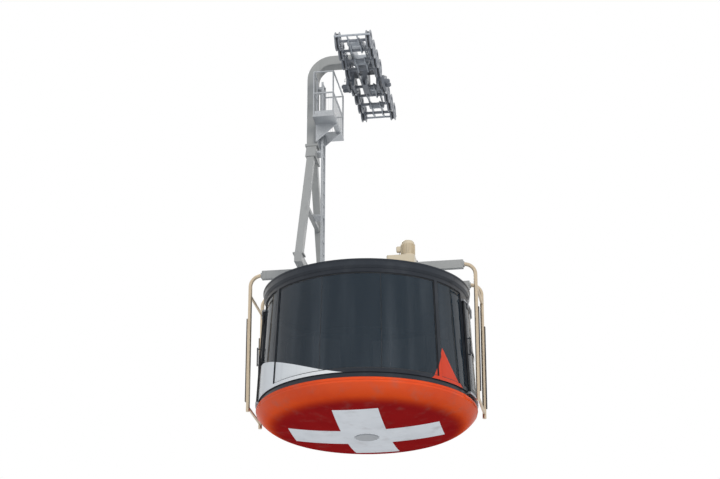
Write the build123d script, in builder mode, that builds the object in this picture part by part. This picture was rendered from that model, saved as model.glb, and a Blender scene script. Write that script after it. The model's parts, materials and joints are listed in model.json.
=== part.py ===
from build123d import *
import os
from math import cos, degrees, radians, sin

# Revolving cable car cabin with a one-sided hanger and a twin-rope carriage.
# Millimetres. +Z is up, Y runs along the ropes, the cabin's front faces -Y.
# The origin lies midway between the two track ropes, at the height of their
# centrelines, straight under the pivot of the hanger.

# Fits and gaps
shaft_play = 0.05
seat_gap = 0.3
move_gap = 6
door_gap = 14

# Track ropes and wheels
rope_gauge = 700
rope_r = 25
wheel_tread_r = 180
wheel_flange_r = 214
wheel_w = 104
wheel_hub_r = 78
wheel_hub_out = 10
wheel_web_w = 44
wheel_flange_t = 14
wheel_rim_t = 26
wheel_rim_bevel = 8
wheel_cap_t = 14
wheel_holes = 5
wheel_hole_r = 22
groove_step = 10
groove_clear = 3
axle_r = 34
axle_pitch = 480
first_axle_y = 440

# Carriage frame
bogie_cheek_x = 98
bogie_cheek_t = 26
bogie_pin_r = 30
bogie_boss_r = 66
bogie_rise = 62
axle_box_r = 70
rocker_gap = 14
rocker_cheek_t = 30
rocker_pin_r = 40
rocker_boss_r = 82
rocker_rise = 128
beam_gap = 14
beam_plate_t = 30
beam_tube_r = 150
beam_chord_h = 170
beam_hole_r = 74
beam_hole_rise = 70
beam_hole_ys = (400, 640, 860)
end_guard_r = 24
end_guard_gap = 50

# Rope brakes and haul rope forks
brake_len = 380
brake_w = 190
brake_h = 210
brake_slot_w = 74
brake_drop = 62
brake_slot_gap = 12
brake_neck = 20
brake_foot_h = 100
brake_spring_r = 54
brake_spring_len = 96
brake_cap_r = 38
brake_cap_t = 20
haul_pin_r = 22
haul_fork_w = 120
haul_slot_w = 56
haul_fork_r = 52
haul_clear = 10
haul_slot_len = 180
haul_root_w = 320
haul_reach = 330

# Hanger
pivot_z = 650
shaft_r = 80
collar_r = 112
collar_t = 34
hanger_x = -1250
arm_w = 320
arm_t = 230
arm_bend_r = 470
arm_corner_r = 20
arm_root_x = -330
apex_z = -1500
leg_foot_y = 1500
leg_t = 160
leg_w = 200
leg_shoe_t = 30
leg_shoe_margin = 40
apex_h = 340
apex_margin = 20
flange_t = 26
flange_out = 30
tie_drop = 1750
tie_t = 90

# Foot frame over the roof
frame_top_z = -4740
frame_beam_h = 190
frame_beam_w = 170
cross_tube_w = 110
deck_t = 24
deck_len = 900
hub_r = 480
hub_lid_t = 50
slip_ring_r = 150
slip_ring_h = 190
spigot_r = 300
spigot_flange_r = 380
spigot_flange_t = 60
lip_h = 140
roof_clear = 60

# Guide frames beside the doors
guide_gap = 86
guide_beside_door = 130
guide_tube_r = 42
guide_bend_r = 250
guide_root_len = 10
guide_drop = 100
guide_bar_r = 30
strip_t = 24
strip_w = 60
strip_head_gap = 180

# Ladder and work platform on the hanger's inner side
ladder_w = 300
ladder_rail_w = 50
ladder_rail_t = 12
rung_r = 12
rung_pitch = 300
rung_start = 210
ladder_stand_off = 130
platform_z = -1000
platform_t = 40
platform_len = 495
platform_half_w = 700
platform_hatch_len = 300
platform_hatch_half_w = 250
gusset_h = 460
gusset_t = 18
bracket_plate_t = 18
guard_h = 1100
guard_knee_h = 560
guard_r = 18
guard_inset = 24

# Cabin shell
dome_clear = 90
dome_h = 180
roof_rib_h = 16
roof_rib_deg = 1.1
roof_ribs = 12
dome_flat_r = 500
dome_edge_in = 20
roof_t = 60
fascia_h = 190
fascia_out = 50
glass_h = 2350
wall_top_r = 2230
wall_foot_r = 2360
wall_t = 70
head_ring_h = 90
foot_ring_h = 80
post_w = 84
jamb_w = 100
front_half_deg = 50
pane_t = 16
ceiling_t = 26
fascia_lap = 20
fascia_step = 6
gutter_h = 22
gutter_out = 16
dome_crown = 0.64
hatch_in = 510
hatch_r = 270
hatch_wall = 22
hatch_curb_w = 60
hatch_lid_t = 24
hatch_lid_lap = 8
hatch_stand = 110
sill_h = 120
sill_inset = 30
sill_w = 90
floor_ledge_w = 60
floor_step = 20
floor_t = 50

# Doors, one on each side
doorway_w = 1060
door_head_drop = 270
door_t = 40
door_lap_w = 34
door_rim = 86
door_rail_h = 46
track_lip_t = 12
track_end_deg = 1.2
door_mid_rail = 56
door_open_deg = 29
handle_h = 420
handle_r = 14
handle_stand_off = 44
handle_low = 860
handle_post_r = 11

# Bowl
bowl_out = 40
bowl_rim_h = 110
bowl_bead_h = 36
bowl_bead_t = 12
shoulder_bulge = 84
shoulder_in = 28
base_crown = 0.7
bowl_chine_in = 600
bowl_chine_drop = 450
bowl_depth = 600
bowl_t = 40
bowl_lip_seat = 60
bowl_flat_r = 330
bottom_cover_r = 250
bottom_cover_t = 18

# Fittings
rail_r = 20
rail_wall_gap = 53
rail_h = 1050
rail_half_deg = 68
rail_end_deg = 2
rail_post_r = 16
rail_posts = 7
console_w = 620
console_d = 340
console_h = 1080
console_in = 740
console_shelf_h = 670
drive_w = 620
drive_d = 420
drive_h = 240
motor_r = 140
motor_h = 380
motor_inset = 168
motor_bevel = 28
drive_corner_r = 35
cabinet_w = 640
cabinet_d = 700
cabinet_h = 300
cabinet_bevel = 30

# Heights and stations worked out from the sizes above
axle_z = rope_r + wheel_tread_r
bogie_pin_z = axle_z + bogie_rise
rocker_pin_z = bogie_pin_z + rocker_rise
haul_drop_z = axle_z - wheel_flange_r - haul_pin_r - haul_clear
axle_ys = [first_axle_y + k * axle_pitch for k in range(4)]
bogie_ys = [(axle_ys[0] + axle_ys[1]) / 2, (axle_ys[2] + axle_ys[3]) / 2]
rocker_y = sum(bogie_ys) / 2
bogie_out_x = bogie_cheek_x + bogie_cheek_t
rocker_cheek_x = bogie_out_x + rocker_gap
rocker_out_x = rocker_cheek_x + rocker_cheek_t
beam_plate_x = rocker_out_x + beam_gap
beam_out_x = beam_plate_x + beam_plate_t
wheel_x = rope_gauge / 2
frame_foot_z = frame_top_z - frame_beam_h
dome_top_z = frame_foot_z - dome_clear
roof_edge_z = dome_top_z - dome_h
wall_top_z = roof_edge_z - fascia_h
wall_foot_z = wall_top_z - glass_h
bowl_rim_z = wall_foot_z - sill_h
floor_z = wall_foot_z - floor_step
wall_slope = (wall_foot_r - wall_top_r) / glass_h
door_foot_z = wall_foot_z + seat_gap
door_top_z = wall_top_z - door_head_drop
door_out = door_gap + door_t
sill_r = wall_foot_r - sill_inset
floor_r = sill_r - sill_w - seat_gap
bowl_rim_r = wall_foot_r + bowl_out
bowl_chine_r = bowl_rim_r - bowl_chine_in
guide_x = max(wall_foot_r + door_out, wall_top_r + fascia_out + gutter_out) + guide_gap
guide_root_x = guide_x - guide_bend_r - guide_root_len
cross_tube_y = doorway_w / 2 + guide_beside_door
tie_z = apex_z - tie_drop
hub_beam_x = hub_r - frame_beam_w
dome_edge_r = wall_top_r + fascia_out - dome_edge_in
hatch_x = dome_edge_r - hatch_in
deck_x = hub_beam_x + frame_beam_w / 2


def wall_r(z):
    """Outer radius of the leaning wall at a height."""
    return wall_top_r + (wall_top_z - z) * wall_slope


def span_deg(width, radius):
    """Angle that a width takes up on a circle."""
    return degrees(width / radius)


def radial_plane(angle):
    """Upright plane through the cabin's axis: local x is the radius, local y is up."""
    return Plane(
        origin=(0, 0, 0),
        x_dir=(cos(radians(angle)), sin(radians(angle)), 0),
        z_dir=(sin(radians(angle)), -cos(radians(angle)), 0),
    )


def wall_band(z_low, z_high, out_offset, thickness):
    """Corners of a leaning band of the wall, on a radial plane."""
    return [
        (wall_r(z_low) + out_offset - thickness, z_low),
        (wall_r(z_low) + out_offset, z_low),
        (wall_r(z_high) + out_offset, z_high),
        (wall_r(z_high) + out_offset - thickness, z_high),
    ]


def side_plane(x, y=0):
    """Upright plane across the carriage: local x runs along the ropes, local y is up."""
    return Plane(origin=(x, y, 0), x_dir=(0, 1, 0), z_dir=(1, 0, 0))


def tube_run(start, end, radius):
    """Adds a straight round bar between two points."""
    run = Vector(*end) - Vector(*start)
    with Locations(Plane(origin=start, z_dir=run)):
        Cylinder(radius, run.length, align=(Align.CENTER, Align.CENTER, Align.MIN))


def save(piece, label):
    piece.part.label = label
    export_step(piece.part, f"parts/{label}.step")


os.makedirs("parts", exist_ok=True)
mid_r = (wall_top_r + wall_foot_r) / 2
door_half_deg = span_deg(doorway_w / 2, mid_r)
jamb_deg = span_deg(jamb_w, mid_r)
post_half_deg = span_deg(post_w / 2, mid_r)
post_deg = 90 - front_half_deg

# Wheel pairs: a drum with a blind bore on each rope, and an axle and two flange rings a drum
wheel_in_x = wheel_x - wheel_w / 2
wheel_out_x = wheel_x + wheel_w / 2
web_in_x = wheel_x - wheel_web_w / 2
web_out_x = wheel_x + wheel_web_w / 2
rim_r = wheel_tread_r - wheel_rim_t
wheel_profile = [
    (0, web_out_x),
    (axle_r + shaft_play, web_out_x),
    (axle_r + shaft_play, wheel_in_x - wheel_hub_out),
    (wheel_hub_r, wheel_in_x - wheel_hub_out),
    (wheel_hub_r, web_in_x),
    (rim_r - wheel_rim_bevel, web_in_x),
    (rim_r, wheel_in_x),
    (wheel_tread_r, wheel_in_x),
    (wheel_tread_r, wheel_out_x),
    (rim_r, wheel_out_x),
    (rim_r - wheel_rim_bevel, web_out_x),
    (wheel_hub_r, web_out_x),
    (wheel_hub_r, wheel_out_x - wheel_flange_t),
    (axle_r + wheel_cap_t, wheel_out_x),
    (0, wheel_out_x),
]
# A flange ring's section: radius, and distance from the middle of the groove
ring_section = [
    (wheel_tread_r, wheel_w / 2),
    (wheel_flange_r, wheel_w / 2),
    (wheel_flange_r, wheel_w / 2 - wheel_flange_t),
    (wheel_tread_r + groove_step, rope_r - groove_clear),
    (wheel_tread_r, rope_r / 2),
]
axle_stations = [-y for y in reversed(axle_ys)] + axle_ys
for number, y in enumerate(axle_stations, 1):
    wheel_plane = Plane(origin=(0, y, axle_z), x_dir=(0, 0, 1), z_dir=(0, -1, 0))
    wheel_axis = Axis((0, y, axle_z), (1, 0, 0))
    with BuildPart() as wheel_pair:
        with BuildSketch(wheel_plane):
            with BuildLine():
                Polyline(*wheel_profile, close=True)
            make_face()
        revolve(axis=wheel_axis)
        mirror(about=Plane.YZ)
        with BuildSketch(side_plane(-wheel_out_x, y)):
            with Locations((0, axle_z)):
                with PolarLocations((wheel_hub_r + rim_r - wheel_rim_bevel) / 2, wheel_holes):
                    Circle(wheel_hole_r)
        extrude(amount=2 * wheel_out_x, mode=Mode.SUBTRACT)
    save(wheel_pair, f"wheel_pair_{number}")
    with BuildPart() as wheel_axle:
        with BuildSketch(wheel_plane):
            for side in (-1, 1):
                with BuildLine():
                    Polyline(*[(r, wheel_x + side * out) for r, out in ring_section], close=True)
                make_face()
        revolve(axis=wheel_axis)
        mirror(about=Plane.YZ)
        with BuildSketch(side_plane(-web_out_x, y)):
            with Locations((0, axle_z)):
                Circle(axle_r)
        extrude(amount=2 * web_out_x)
    save(wheel_axle, f"wheel_axle_{number}")

# Bogies: two cheeks bushed for the axles, a boss for the rocker's pin, and a guard before the end wheels
guard_y = axle_pitch / 2 + wheel_flange_r + end_guard_gap
with BuildPart() as bogies:
    for y in [s * b for b in bogie_ys for s in (-1, 1)]:
        for x in (-bogie_out_x, bogie_cheek_x):
            with BuildSketch(side_plane(x, y)):
                with BuildLine():
                    Polyline(
                        (-axle_pitch / 2 - axle_box_r, axle_z - axle_box_r / 2),
                        (-axle_pitch / 2 - axle_box_r / 2, axle_z - axle_box_r),
                        (-axle_pitch / 2 + axle_box_r / 2, axle_z - axle_box_r),
                        (-bogie_boss_r, axle_z - bogie_boss_r / 2),
                        (bogie_boss_r, axle_z - bogie_boss_r / 2),
                        (axle_pitch / 2 - axle_box_r / 2, axle_z - axle_box_r),
                        (axle_pitch / 2 + axle_box_r / 2, axle_z - axle_box_r),
                        (axle_pitch / 2 + axle_box_r, axle_z - axle_box_r / 2),
                        (axle_pitch / 2 + axle_box_r, axle_z + axle_box_r / 2),
                        (bogie_boss_r, bogie_pin_z + bogie_boss_r),
                        (-bogie_boss_r, bogie_pin_z + bogie_boss_r),
                        (-axle_pitch / 2 - axle_box_r, axle_z + axle_box_r / 2),
                        close=True,
                    )
                make_face()
                if abs(y) == bogie_ys[1]:
                    way = 1 if y > 0 else -1
                    with Locations((way * (axle_pitch / 2 + guard_y) / 2, axle_z)):
                        Rectangle(guard_y - axle_pitch / 2, 2 * end_guard_r)
            extrude(amount=bogie_cheek_t)
        with BuildSketch(side_plane(-bogie_cheek_x, y)):
            with Locations((0, bogie_pin_z)):
                Circle(bogie_boss_r)
        extrude(amount=2 * bogie_cheek_x)
        with BuildSketch(side_plane(-bogie_out_x, y)):
            with Locations((-axle_pitch / 2, axle_z), (axle_pitch / 2, axle_z)):
                Circle(axle_r + shaft_play)
            with Locations((0, bogie_pin_z)):
                Circle(bogie_pin_r + shaft_play)
        extrude(amount=2 * bogie_out_x, mode=Mode.SUBTRACT)
        if abs(y) == bogie_ys[1]:
            with BuildSketch(side_plane(-wheel_out_x, y)):
                with Locations(((1 if y > 0 else -1) * guard_y, axle_z)):
                    Circle(end_guard_r)
            extrude(amount=2 * wheel_out_x)
save(bogies, "bogies")

# Main rockers: outer cheeks with the bogie pins, and a tube for the beam's pin
rocker_half = (bogie_ys[1] - bogie_ys[0]) / 2
with BuildPart() as main_rockers:
    for y in (-rocker_y, rocker_y):
        for x in (-rocker_out_x, rocker_cheek_x):
            with BuildSketch(side_plane(x, y)):
                with Locations((-rocker_half, bogie_pin_z), (rocker_half, bogie_pin_z)):
                    Circle(bogie_boss_r)
                with Locations((0, rocker_pin_z)):
                    Circle(rocker_boss_r)
                with BuildLine():
                    Polyline(
                        (-rocker_half, bogie_pin_z - bogie_boss_r / 4),
                        (-rocker_half / 2, bogie_pin_z + bogie_boss_r / 2),
                        (rocker_half / 2, bogie_pin_z + bogie_boss_r / 2),
                        (rocker_half, bogie_pin_z - bogie_boss_r / 4),
                        (rocker_half, bogie_pin_z + bogie_boss_r),
                        (0, rocker_pin_z + rocker_boss_r),
                        (-rocker_half, bogie_pin_z + bogie_boss_r),
                        close=True,
                    )
                make_face()
            extrude(amount=rocker_cheek_t)
        with BuildSketch(side_plane(-rocker_out_x, y)):
            with Locations((-rocker_half, bogie_pin_z), (rocker_half, bogie_pin_z)):
                Circle(bogie_pin_r)
            with Locations((0, rocker_pin_z)):
                Circle(rocker_boss_r)
        extrude(amount=2 * rocker_out_x)
        with BuildSketch(side_plane(-rocker_out_x, y)):
            with Locations((0, rocker_pin_z)):
                Circle(rocker_pin_r + shaft_play)
        extrude(amount=2 * rocker_out_x, mode=Mode.SUBTRACT)
save(main_rockers, "main_rockers")

# Carriage beam: two side plates, pins for the rockers and the bearing tube for the hanger
brake_half = brake_len / 2
with BuildPart() as carriage_beam:
    for x in (-beam_out_x, beam_plate_x):
        with BuildSketch(side_plane(x)):
            with BuildLine():
                Polyline(
                    (-rocker_y, rocker_pin_z - rocker_boss_r),
                    (-2 * brake_half, rocker_pin_z - rocker_boss_r / 2),
                    (-brake_half, rocker_pin_z - beam_chord_h / 2),
                    (brake_half, rocker_pin_z - beam_chord_h / 2),
                    (2 * brake_half, rocker_pin_z - rocker_boss_r / 2),
                    (rocker_y, rocker_pin_z - rocker_boss_r),
                    (rocker_y + rocker_boss_r, rocker_pin_z),
                    (rocker_y, rocker_pin_z + rocker_boss_r),
                    (beam_tube_r, pivot_z + beam_tube_r),
                    (-beam_tube_r, pivot_z + beam_tube_r),
                    (-rocker_y, rocker_pin_z + rocker_boss_r),
                    (-rocker_y - rocker_boss_r, rocker_pin_z),
                    close=True,
                )
            make_face()
            with Locations(*[(s * y, rocker_pin_z + beam_hole_rise) for y in beam_hole_ys for s in (-1, 1)]):
                Circle(beam_hole_r, mode=Mode.SUBTRACT)
        extrude(amount=beam_plate_t)
    with BuildSketch(side_plane(-beam_out_x)):
        with Locations((-rocker_y, rocker_pin_z), (rocker_y, rocker_pin_z)):
            Circle(rocker_pin_r)
        with Locations((0, pivot_z)):
            Circle(beam_tube_r)
    extrude(amount=2 * beam_out_x)
    with BuildSketch(side_plane(-beam_out_x)):
        with Locations((0, pivot_z)):
            Circle(shaft_r + shaft_play)
    extrude(amount=2 * beam_out_x, mode=Mode.SUBTRACT)
save(carriage_beam, "carriage_beam")

# Rope brakes: a housing astride each rope with spring cylinders, on a foot against the beam's plate
brake_top_z = brake_h - brake_drop
slot_top_z = rope_r + brake_slot_gap
foot_z = rocker_pin_z - brake_foot_h
# Columns: distance from the housing, radius, length
cylinder_steps = (
    (0, brake_spring_r, brake_spring_len),
    (brake_spring_len, brake_cap_r, brake_cap_t),
)
with BuildPart() as rope_brakes:
    for side in (-1, 1):
        in_x = side * (wheel_x - brake_w / 2)
        out_x = side * (wheel_x + brake_w / 2)
        with BuildSketch(Plane(origin=(0, brake_half, 0), x_dir=(1, 0, 0), z_dir=(0, -1, 0))):
            with BuildLine():
                Polyline(
                    (in_x, -brake_drop),
                    (side * (wheel_x - brake_slot_w / 2), -brake_drop),
                    (side * (wheel_x - brake_slot_w / 2), slot_top_z),
                    (side * (wheel_x + brake_slot_w / 2), slot_top_z),
                    (side * (wheel_x + brake_slot_w / 2), -brake_drop),
                    (out_x, -brake_drop),
                    (out_x, brake_top_z),
                    (side * (wheel_x - brake_neck), brake_top_z),
                    (side * (wheel_x - brake_neck), foot_z + brake_foot_h),
                    (side * beam_out_x, foot_z + brake_foot_h),
                    (side * beam_out_x, foot_z),
                    (in_x, foot_z),
                    close=True,
                )
            make_face()
        extrude(amount=brake_len)
        for reach, radius, length in cylinder_steps:
            with BuildSketch(Plane(origin=(out_x + side * reach, 0, 0), x_dir=(0, 1, 0), z_dir=(side, 0, 0))):
                with Locations((-brake_len / 4, slot_top_z), (brake_len / 4, slot_top_z)):
                    Circle(radius)
            extrude(amount=length)
save(rope_brakes, "rope_brakes")

# Haul rope bracket: a drop plate between the side plates, forked at both ends
with BuildPart() as haul_bracket:
    with BuildSketch(side_plane(-haul_fork_w / 2)):
        with BuildLine():
            Polyline(
                (-brake_half, rocker_pin_z + beam_chord_h / 4),
                (-haul_reach + haul_fork_r, haul_drop_z + haul_fork_r),
                (-haul_reach, haul_drop_z + haul_fork_r),
                (-haul_reach, haul_drop_z - haul_fork_r),
                (haul_reach, haul_drop_z - haul_fork_r),
                (haul_reach, haul_drop_z + haul_fork_r),
                (haul_reach - haul_fork_r, haul_drop_z + haul_fork_r),
                (brake_half, rocker_pin_z + beam_chord_h / 4),
                close=True,
            )
        make_face()
        with Locations((-haul_reach, haul_drop_z), (haul_reach, haul_drop_z)):
            Circle(haul_fork_r)
    extrude(amount=haul_fork_w)
    with BuildSketch(side_plane(-beam_plate_x)):
        with Locations((0, rocker_pin_z)):
            Rectangle(haul_root_w, beam_chord_h / 2)
    extrude(amount=2 * beam_plate_x)
    with BuildSketch(Plane.XY.offset(haul_drop_z - haul_fork_r)):
        with Locations((0, -haul_reach), (0, haul_reach)):
            Rectangle(haul_slot_w, haul_slot_len)
    extrude(amount=2 * haul_fork_r, mode=Mode.SUBTRACT)
    with BuildSketch(side_plane(-haul_fork_w / 2)):
        with Locations((-haul_reach, haul_drop_z), (haul_reach, haul_drop_z)):
            Circle(haul_pin_r)
    extrude(amount=haul_fork_w, mode=Mode.SUBTRACT)
save(haul_bracket, "haul_bracket")

# Hanger shaft: runs in the beam's tube, with a collar at each end
shaft_collar_x = beam_out_x + move_gap
with BuildPart() as hanger_shaft:
    with BuildSketch(side_plane(arm_root_x)):
        with Locations((0, pivot_z)):
            Circle(shaft_r)
    extrude(amount=shaft_collar_x - arm_root_x + collar_t)
    for x, thickness in ((shaft_collar_x, collar_t), (arm_root_x, -shaft_collar_x - arm_root_x)):
        with BuildSketch(side_plane(x)):
            with Locations((0, pivot_z)):
                Circle(collar_r)
        extrude(amount=thickness)
save(hanger_shaft, "hanger_shaft")

# Hanger column: a box section that bends over from the shaft and drops to a bolted flange
with BuildPart() as hanger_column:
    with BuildLine() as column_path:
        FilletPolyline(
            (arm_root_x, 0, pivot_z),
            (hanger_x, 0, pivot_z),
            (hanger_x, 0, apex_z),
            radius=arm_bend_r,
        )
    with BuildSketch(Plane(origin=(arm_root_x, 0, pivot_z), x_dir=(0, 1, 0), z_dir=(-1, 0, 0))):
        RectangleRounded(arm_w, arm_t, arm_corner_r)
    sweep(path=column_path.line)
    with BuildSketch(Plane.XY.offset(apex_z)):
        with Locations((hanger_x, 0)):
            Rectangle(arm_t + 2 * flange_out, arm_w + 2 * flange_out)
    extrude(amount=flange_t)
save(hanger_column, "hanger_column")

# Hanger legs: an A-frame in the plane of the ropes, with its flange, apex box, tie and shoes
leg_head_y = arm_w / 2 - flange_out
leg_head_z = apex_z - apex_h / 2
leg_end_z = frame_top_z + leg_shoe_t
leg_slope = (leg_foot_y - leg_head_y) / (leg_head_z - leg_end_z)
apex_half = leg_head_y + leg_w / 2 + leg_slope * apex_h / 2 + apex_margin
tie_half = leg_head_y + leg_slope * (leg_head_z - tie_z)
with BuildPart() as hanger_legs:
    with BuildSketch(Plane.XY.offset(apex_z)):
        with Locations((hanger_x, 0)):
            Rectangle(arm_t + 2 * flange_out, arm_w + 2 * flange_out)
    extrude(amount=-flange_t)
    with BuildSketch(side_plane(hanger_x - arm_t / 2)):
        with BuildLine():
            Polyline(
                (-arm_w / 2, apex_z),
                (arm_w / 2, apex_z),
                (apex_half, apex_z - apex_h),
                (-apex_half, apex_z - apex_h),
                close=True,
            )
        make_face()
    extrude(amount=arm_t)
    for side in (-1, 1):
        with BuildSketch(side_plane(hanger_x - leg_t / 2)):
            with BuildLine():
                Polyline(
                    (side * (leg_head_y - leg_w / 2), leg_head_z),
                    (side * (leg_head_y + leg_w / 2), leg_head_z),
                    (side * (leg_foot_y + leg_w / 2), leg_end_z),
                    (side * (leg_foot_y - leg_w / 2), leg_end_z),
                    close=True,
                )
            make_face()
        extrude(amount=leg_t)
        with BuildSketch(Plane.XY.offset(frame_top_z)):
            with Locations((hanger_x, side * leg_foot_y)):
                Rectangle(leg_t + 2 * leg_shoe_margin, leg_w + 2 * leg_shoe_margin)
        extrude(amount=leg_shoe_t)
    with BuildSketch(side_plane(hanger_x - tie_t / 2)):
        with Locations((0, tie_z)):
            Rectangle(2 * tie_half, tie_t)
    extrude(amount=tie_t)
save(hanger_legs, "hanger_legs")

# Foot frame: long beam under the legs, cross tubes over the roof, deck and slewing hub
hub_foot_z = dome_top_z + roof_clear
cavity_foot_z = hub_foot_z + lip_h
flange_z = cavity_foot_z + seat_gap
cavity_top_z = flange_z + spigot_flange_t + move_gap
hub_lid_z = frame_top_z + hub_lid_t
with BuildPart() as hanger_foot:
    with BuildSketch(Plane.XY.offset(frame_foot_z)):
        with Locations((hanger_x, 0)):
            Rectangle(frame_beam_w, 2 * (leg_foot_y + leg_w / 2 + leg_shoe_margin))
        with Locations((0, -cross_tube_y), (0, cross_tube_y)):
            Rectangle(2 * guide_root_x, cross_tube_w)
        with Locations((-hub_beam_x, 0), (hub_beam_x, 0)):
            Rectangle(frame_beam_w, 2 * cross_tube_y)
        Circle(hub_r)
    extrude(amount=frame_beam_h)
    with BuildSketch(Plane.XY.offset(frame_top_z)):
        with Locations((deck_x + deck_len / 2, 0)):
            Rectangle(deck_len, 2 * cross_tube_y)
    extrude(amount=-deck_t)
    with BuildSketch(Plane.XZ):
        with BuildLine():
            Polyline(
                (0, hub_foot_z),
                (hub_r, hub_foot_z),
                (hub_r, frame_top_z),
                (hub_r - hub_lid_t, hub_lid_z),
                (slip_ring_r, hub_lid_z),
                (slip_ring_r, hub_lid_z + slip_ring_h),
                (0, hub_lid_z + slip_ring_h),
                close=True,
            )
        make_face()
    revolve(axis=Axis.Z)
    with BuildSketch(Plane.XZ):
        with BuildLine():
            Polyline(
                (0, hub_foot_z),
                (spigot_r + shaft_play, hub_foot_z),
                (spigot_r + shaft_play, cavity_foot_z),
                (spigot_flange_r + move_gap, cavity_foot_z),
                (spigot_flange_r + move_gap, cavity_top_z),
                (0, cavity_top_z),
                close=True,
            )
        make_face()
    revolve(axis=Axis.Z, mode=Mode.SUBTRACT)
save(hanger_foot, "hanger_foot")

# Guide frames: bent tubes that reach out over the roof and down beside each door
tube_z = frame_foot_z + frame_beam_h / 2
guide_foot_z = bowl_rim_z - guide_drop
for label, side in (("guide_frame_left", -1), ("guide_frame_right", 1)):
    root_x = side * guide_root_x
    with BuildPart() as guide_frame:
        for y in (-cross_tube_y, cross_tube_y):
            with BuildLine() as tube_path:
                FilletPolyline(
                    (root_x, y, tube_z),
                    (side * guide_x, y, tube_z),
                    (side * guide_x, y, guide_foot_z),
                    radius=guide_bend_r,
                )
            with BuildSketch(Plane(origin=(root_x, y, tube_z), x_dir=(0, 1, 0), z_dir=(side, 0, 0))):
                Circle(guide_tube_r)
            sweep(path=tube_path.line)
        for z in (wall_top_z + fascia_h / 2, bowl_rim_z):
            tube_run((side * guide_x, -cross_tube_y, z), (side * guide_x, cross_tube_y, z), guide_bar_r)
        for y in (-cross_tube_y, cross_tube_y):
            with BuildSketch(Plane.XY.offset(wall_foot_z)):
                with Locations((side * (guide_x + guide_tube_r), y)):
                    Rectangle(2 * strip_t, strip_w)
            extrude(amount=door_top_z - strip_head_gap - wall_foot_z)
    save(guide_frame, label)

# Ladder from the foot frame to the platform, on stays from what it passes
ladder_x = hanger_x + arm_t / 2 + ladder_stand_off
ladder_foot_z = frame_foot_z
ladder_top_z = platform_z + guard_h
rung_count = int((ladder_top_z - ladder_foot_z - rung_start) / rung_pitch) + 1
ladder_stays = (
    (frame_foot_z + frame_beam_h / 2, hanger_x + frame_beam_w / 2),
    (tie_z, hanger_x + tie_t / 2),
    (apex_z - apex_h / 2, hanger_x + arm_t / 2),
    (ladder_top_z - rung_pitch / 2, hanger_x + arm_t / 2),
)
with BuildPart() as hanger_ladder:
    with BuildSketch(Plane.XY.offset(ladder_foot_z)):
        with Locations((ladder_x, -ladder_w / 2), (ladder_x, ladder_w / 2)):
            Rectangle(ladder_rail_w, ladder_rail_t)
    extrude(amount=ladder_top_z - ladder_foot_z)
    for z, carrier_x in ladder_stays:
        with BuildSketch(side_plane(carrier_x)):
            with Locations((0, z)):
                Rectangle(ladder_w, ladder_rail_w)
        extrude(amount=ladder_x - carrier_x - ladder_rail_w / 2 + ladder_rail_t)
save(hanger_ladder, "hanger_ladder")
rung_half = (ladder_w - ladder_rail_t) / 2 - seat_gap
with BuildPart() as ladder_rungs:
    for number in range(rung_count):
        z = ladder_foot_z + rung_start + number * rung_pitch
        tube_run((ladder_x, -rung_half, z), (ladder_x, rung_half, z), rung_r)
save(ladder_rungs, "ladder_rungs")

# Work platform beside the carriage: a floor with the ladder's hatch on gussets, and a guard of tube
platform_in_x = hanger_x + arm_t / 2
platform_out_x = platform_in_x + platform_len
guard_in_x = platform_in_x + guard_inset
guard_out_x = platform_out_x - guard_inset
guard_y_out = platform_half_w - guard_inset
guard_y_in = platform_hatch_half_w
guard_runs = (
    ((guard_in_x, -guard_y_in), (guard_in_x, -guard_y_out)),
    ((guard_in_x, -guard_y_out), (guard_out_x, -guard_y_out)),
    ((guard_out_x, -guard_y_out), (guard_out_x, guard_y_out)),
    ((guard_out_x, guard_y_out), (guard_in_x, guard_y_out)),
    ((guard_in_x, guard_y_out), (guard_in_x, guard_y_in)),
)
with BuildPart() as work_platform:
    with BuildSketch(Plane.XY.offset(platform_z)):
        with Locations(((platform_in_x + platform_out_x) / 2, 0)):
            Rectangle(platform_len, 2 * platform_half_w)
        with Locations((ladder_x - ladder_rail_w + platform_hatch_len / 2, 0)):
            Rectangle(platform_hatch_len, 2 * platform_hatch_half_w, mode=Mode.SUBTRACT)
    extrude(amount=-platform_t)
    with BuildSketch(side_plane(platform_in_x)):
        with Locations((0, platform_z - gusset_h / 2)):
            Rectangle(2 * (platform_hatch_half_w + gusset_t), gusset_h)
    extrude(amount=bracket_plate_t)
    for y in (-platform_hatch_half_w - gusset_t, platform_hatch_half_w):
        with BuildSketch(Plane(origin=(0, y, 0), x_dir=(1, 0, 0), z_dir=(0, -1, 0))):
            with BuildLine():
                Polyline(
                    (platform_in_x, platform_z),
                    (platform_out_x, platform_z),
                    (platform_out_x, platform_z - platform_t),
                    (platform_in_x + bracket_plate_t, platform_z - gusset_h),
                    (platform_in_x, platform_z - gusset_h),
                    close=True,
                )
            make_face()
        extrude(amount=-gusset_t)
save(work_platform, "work_platform")
with BuildPart() as platform_guard:
    for start, end in guard_runs:
        for height in (guard_knee_h, guard_h):
            tube_run((*start, platform_z + height), (*end, platform_z + height), guard_r)
        tube_run((*start, platform_z), (*start, platform_z + guard_h), guard_r)
    tube_run((*guard_runs[-1][1], platform_z), (*guard_runs[-1][1], platform_z + guard_h), guard_r)
save(platform_guard, "platform_guard")

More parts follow.
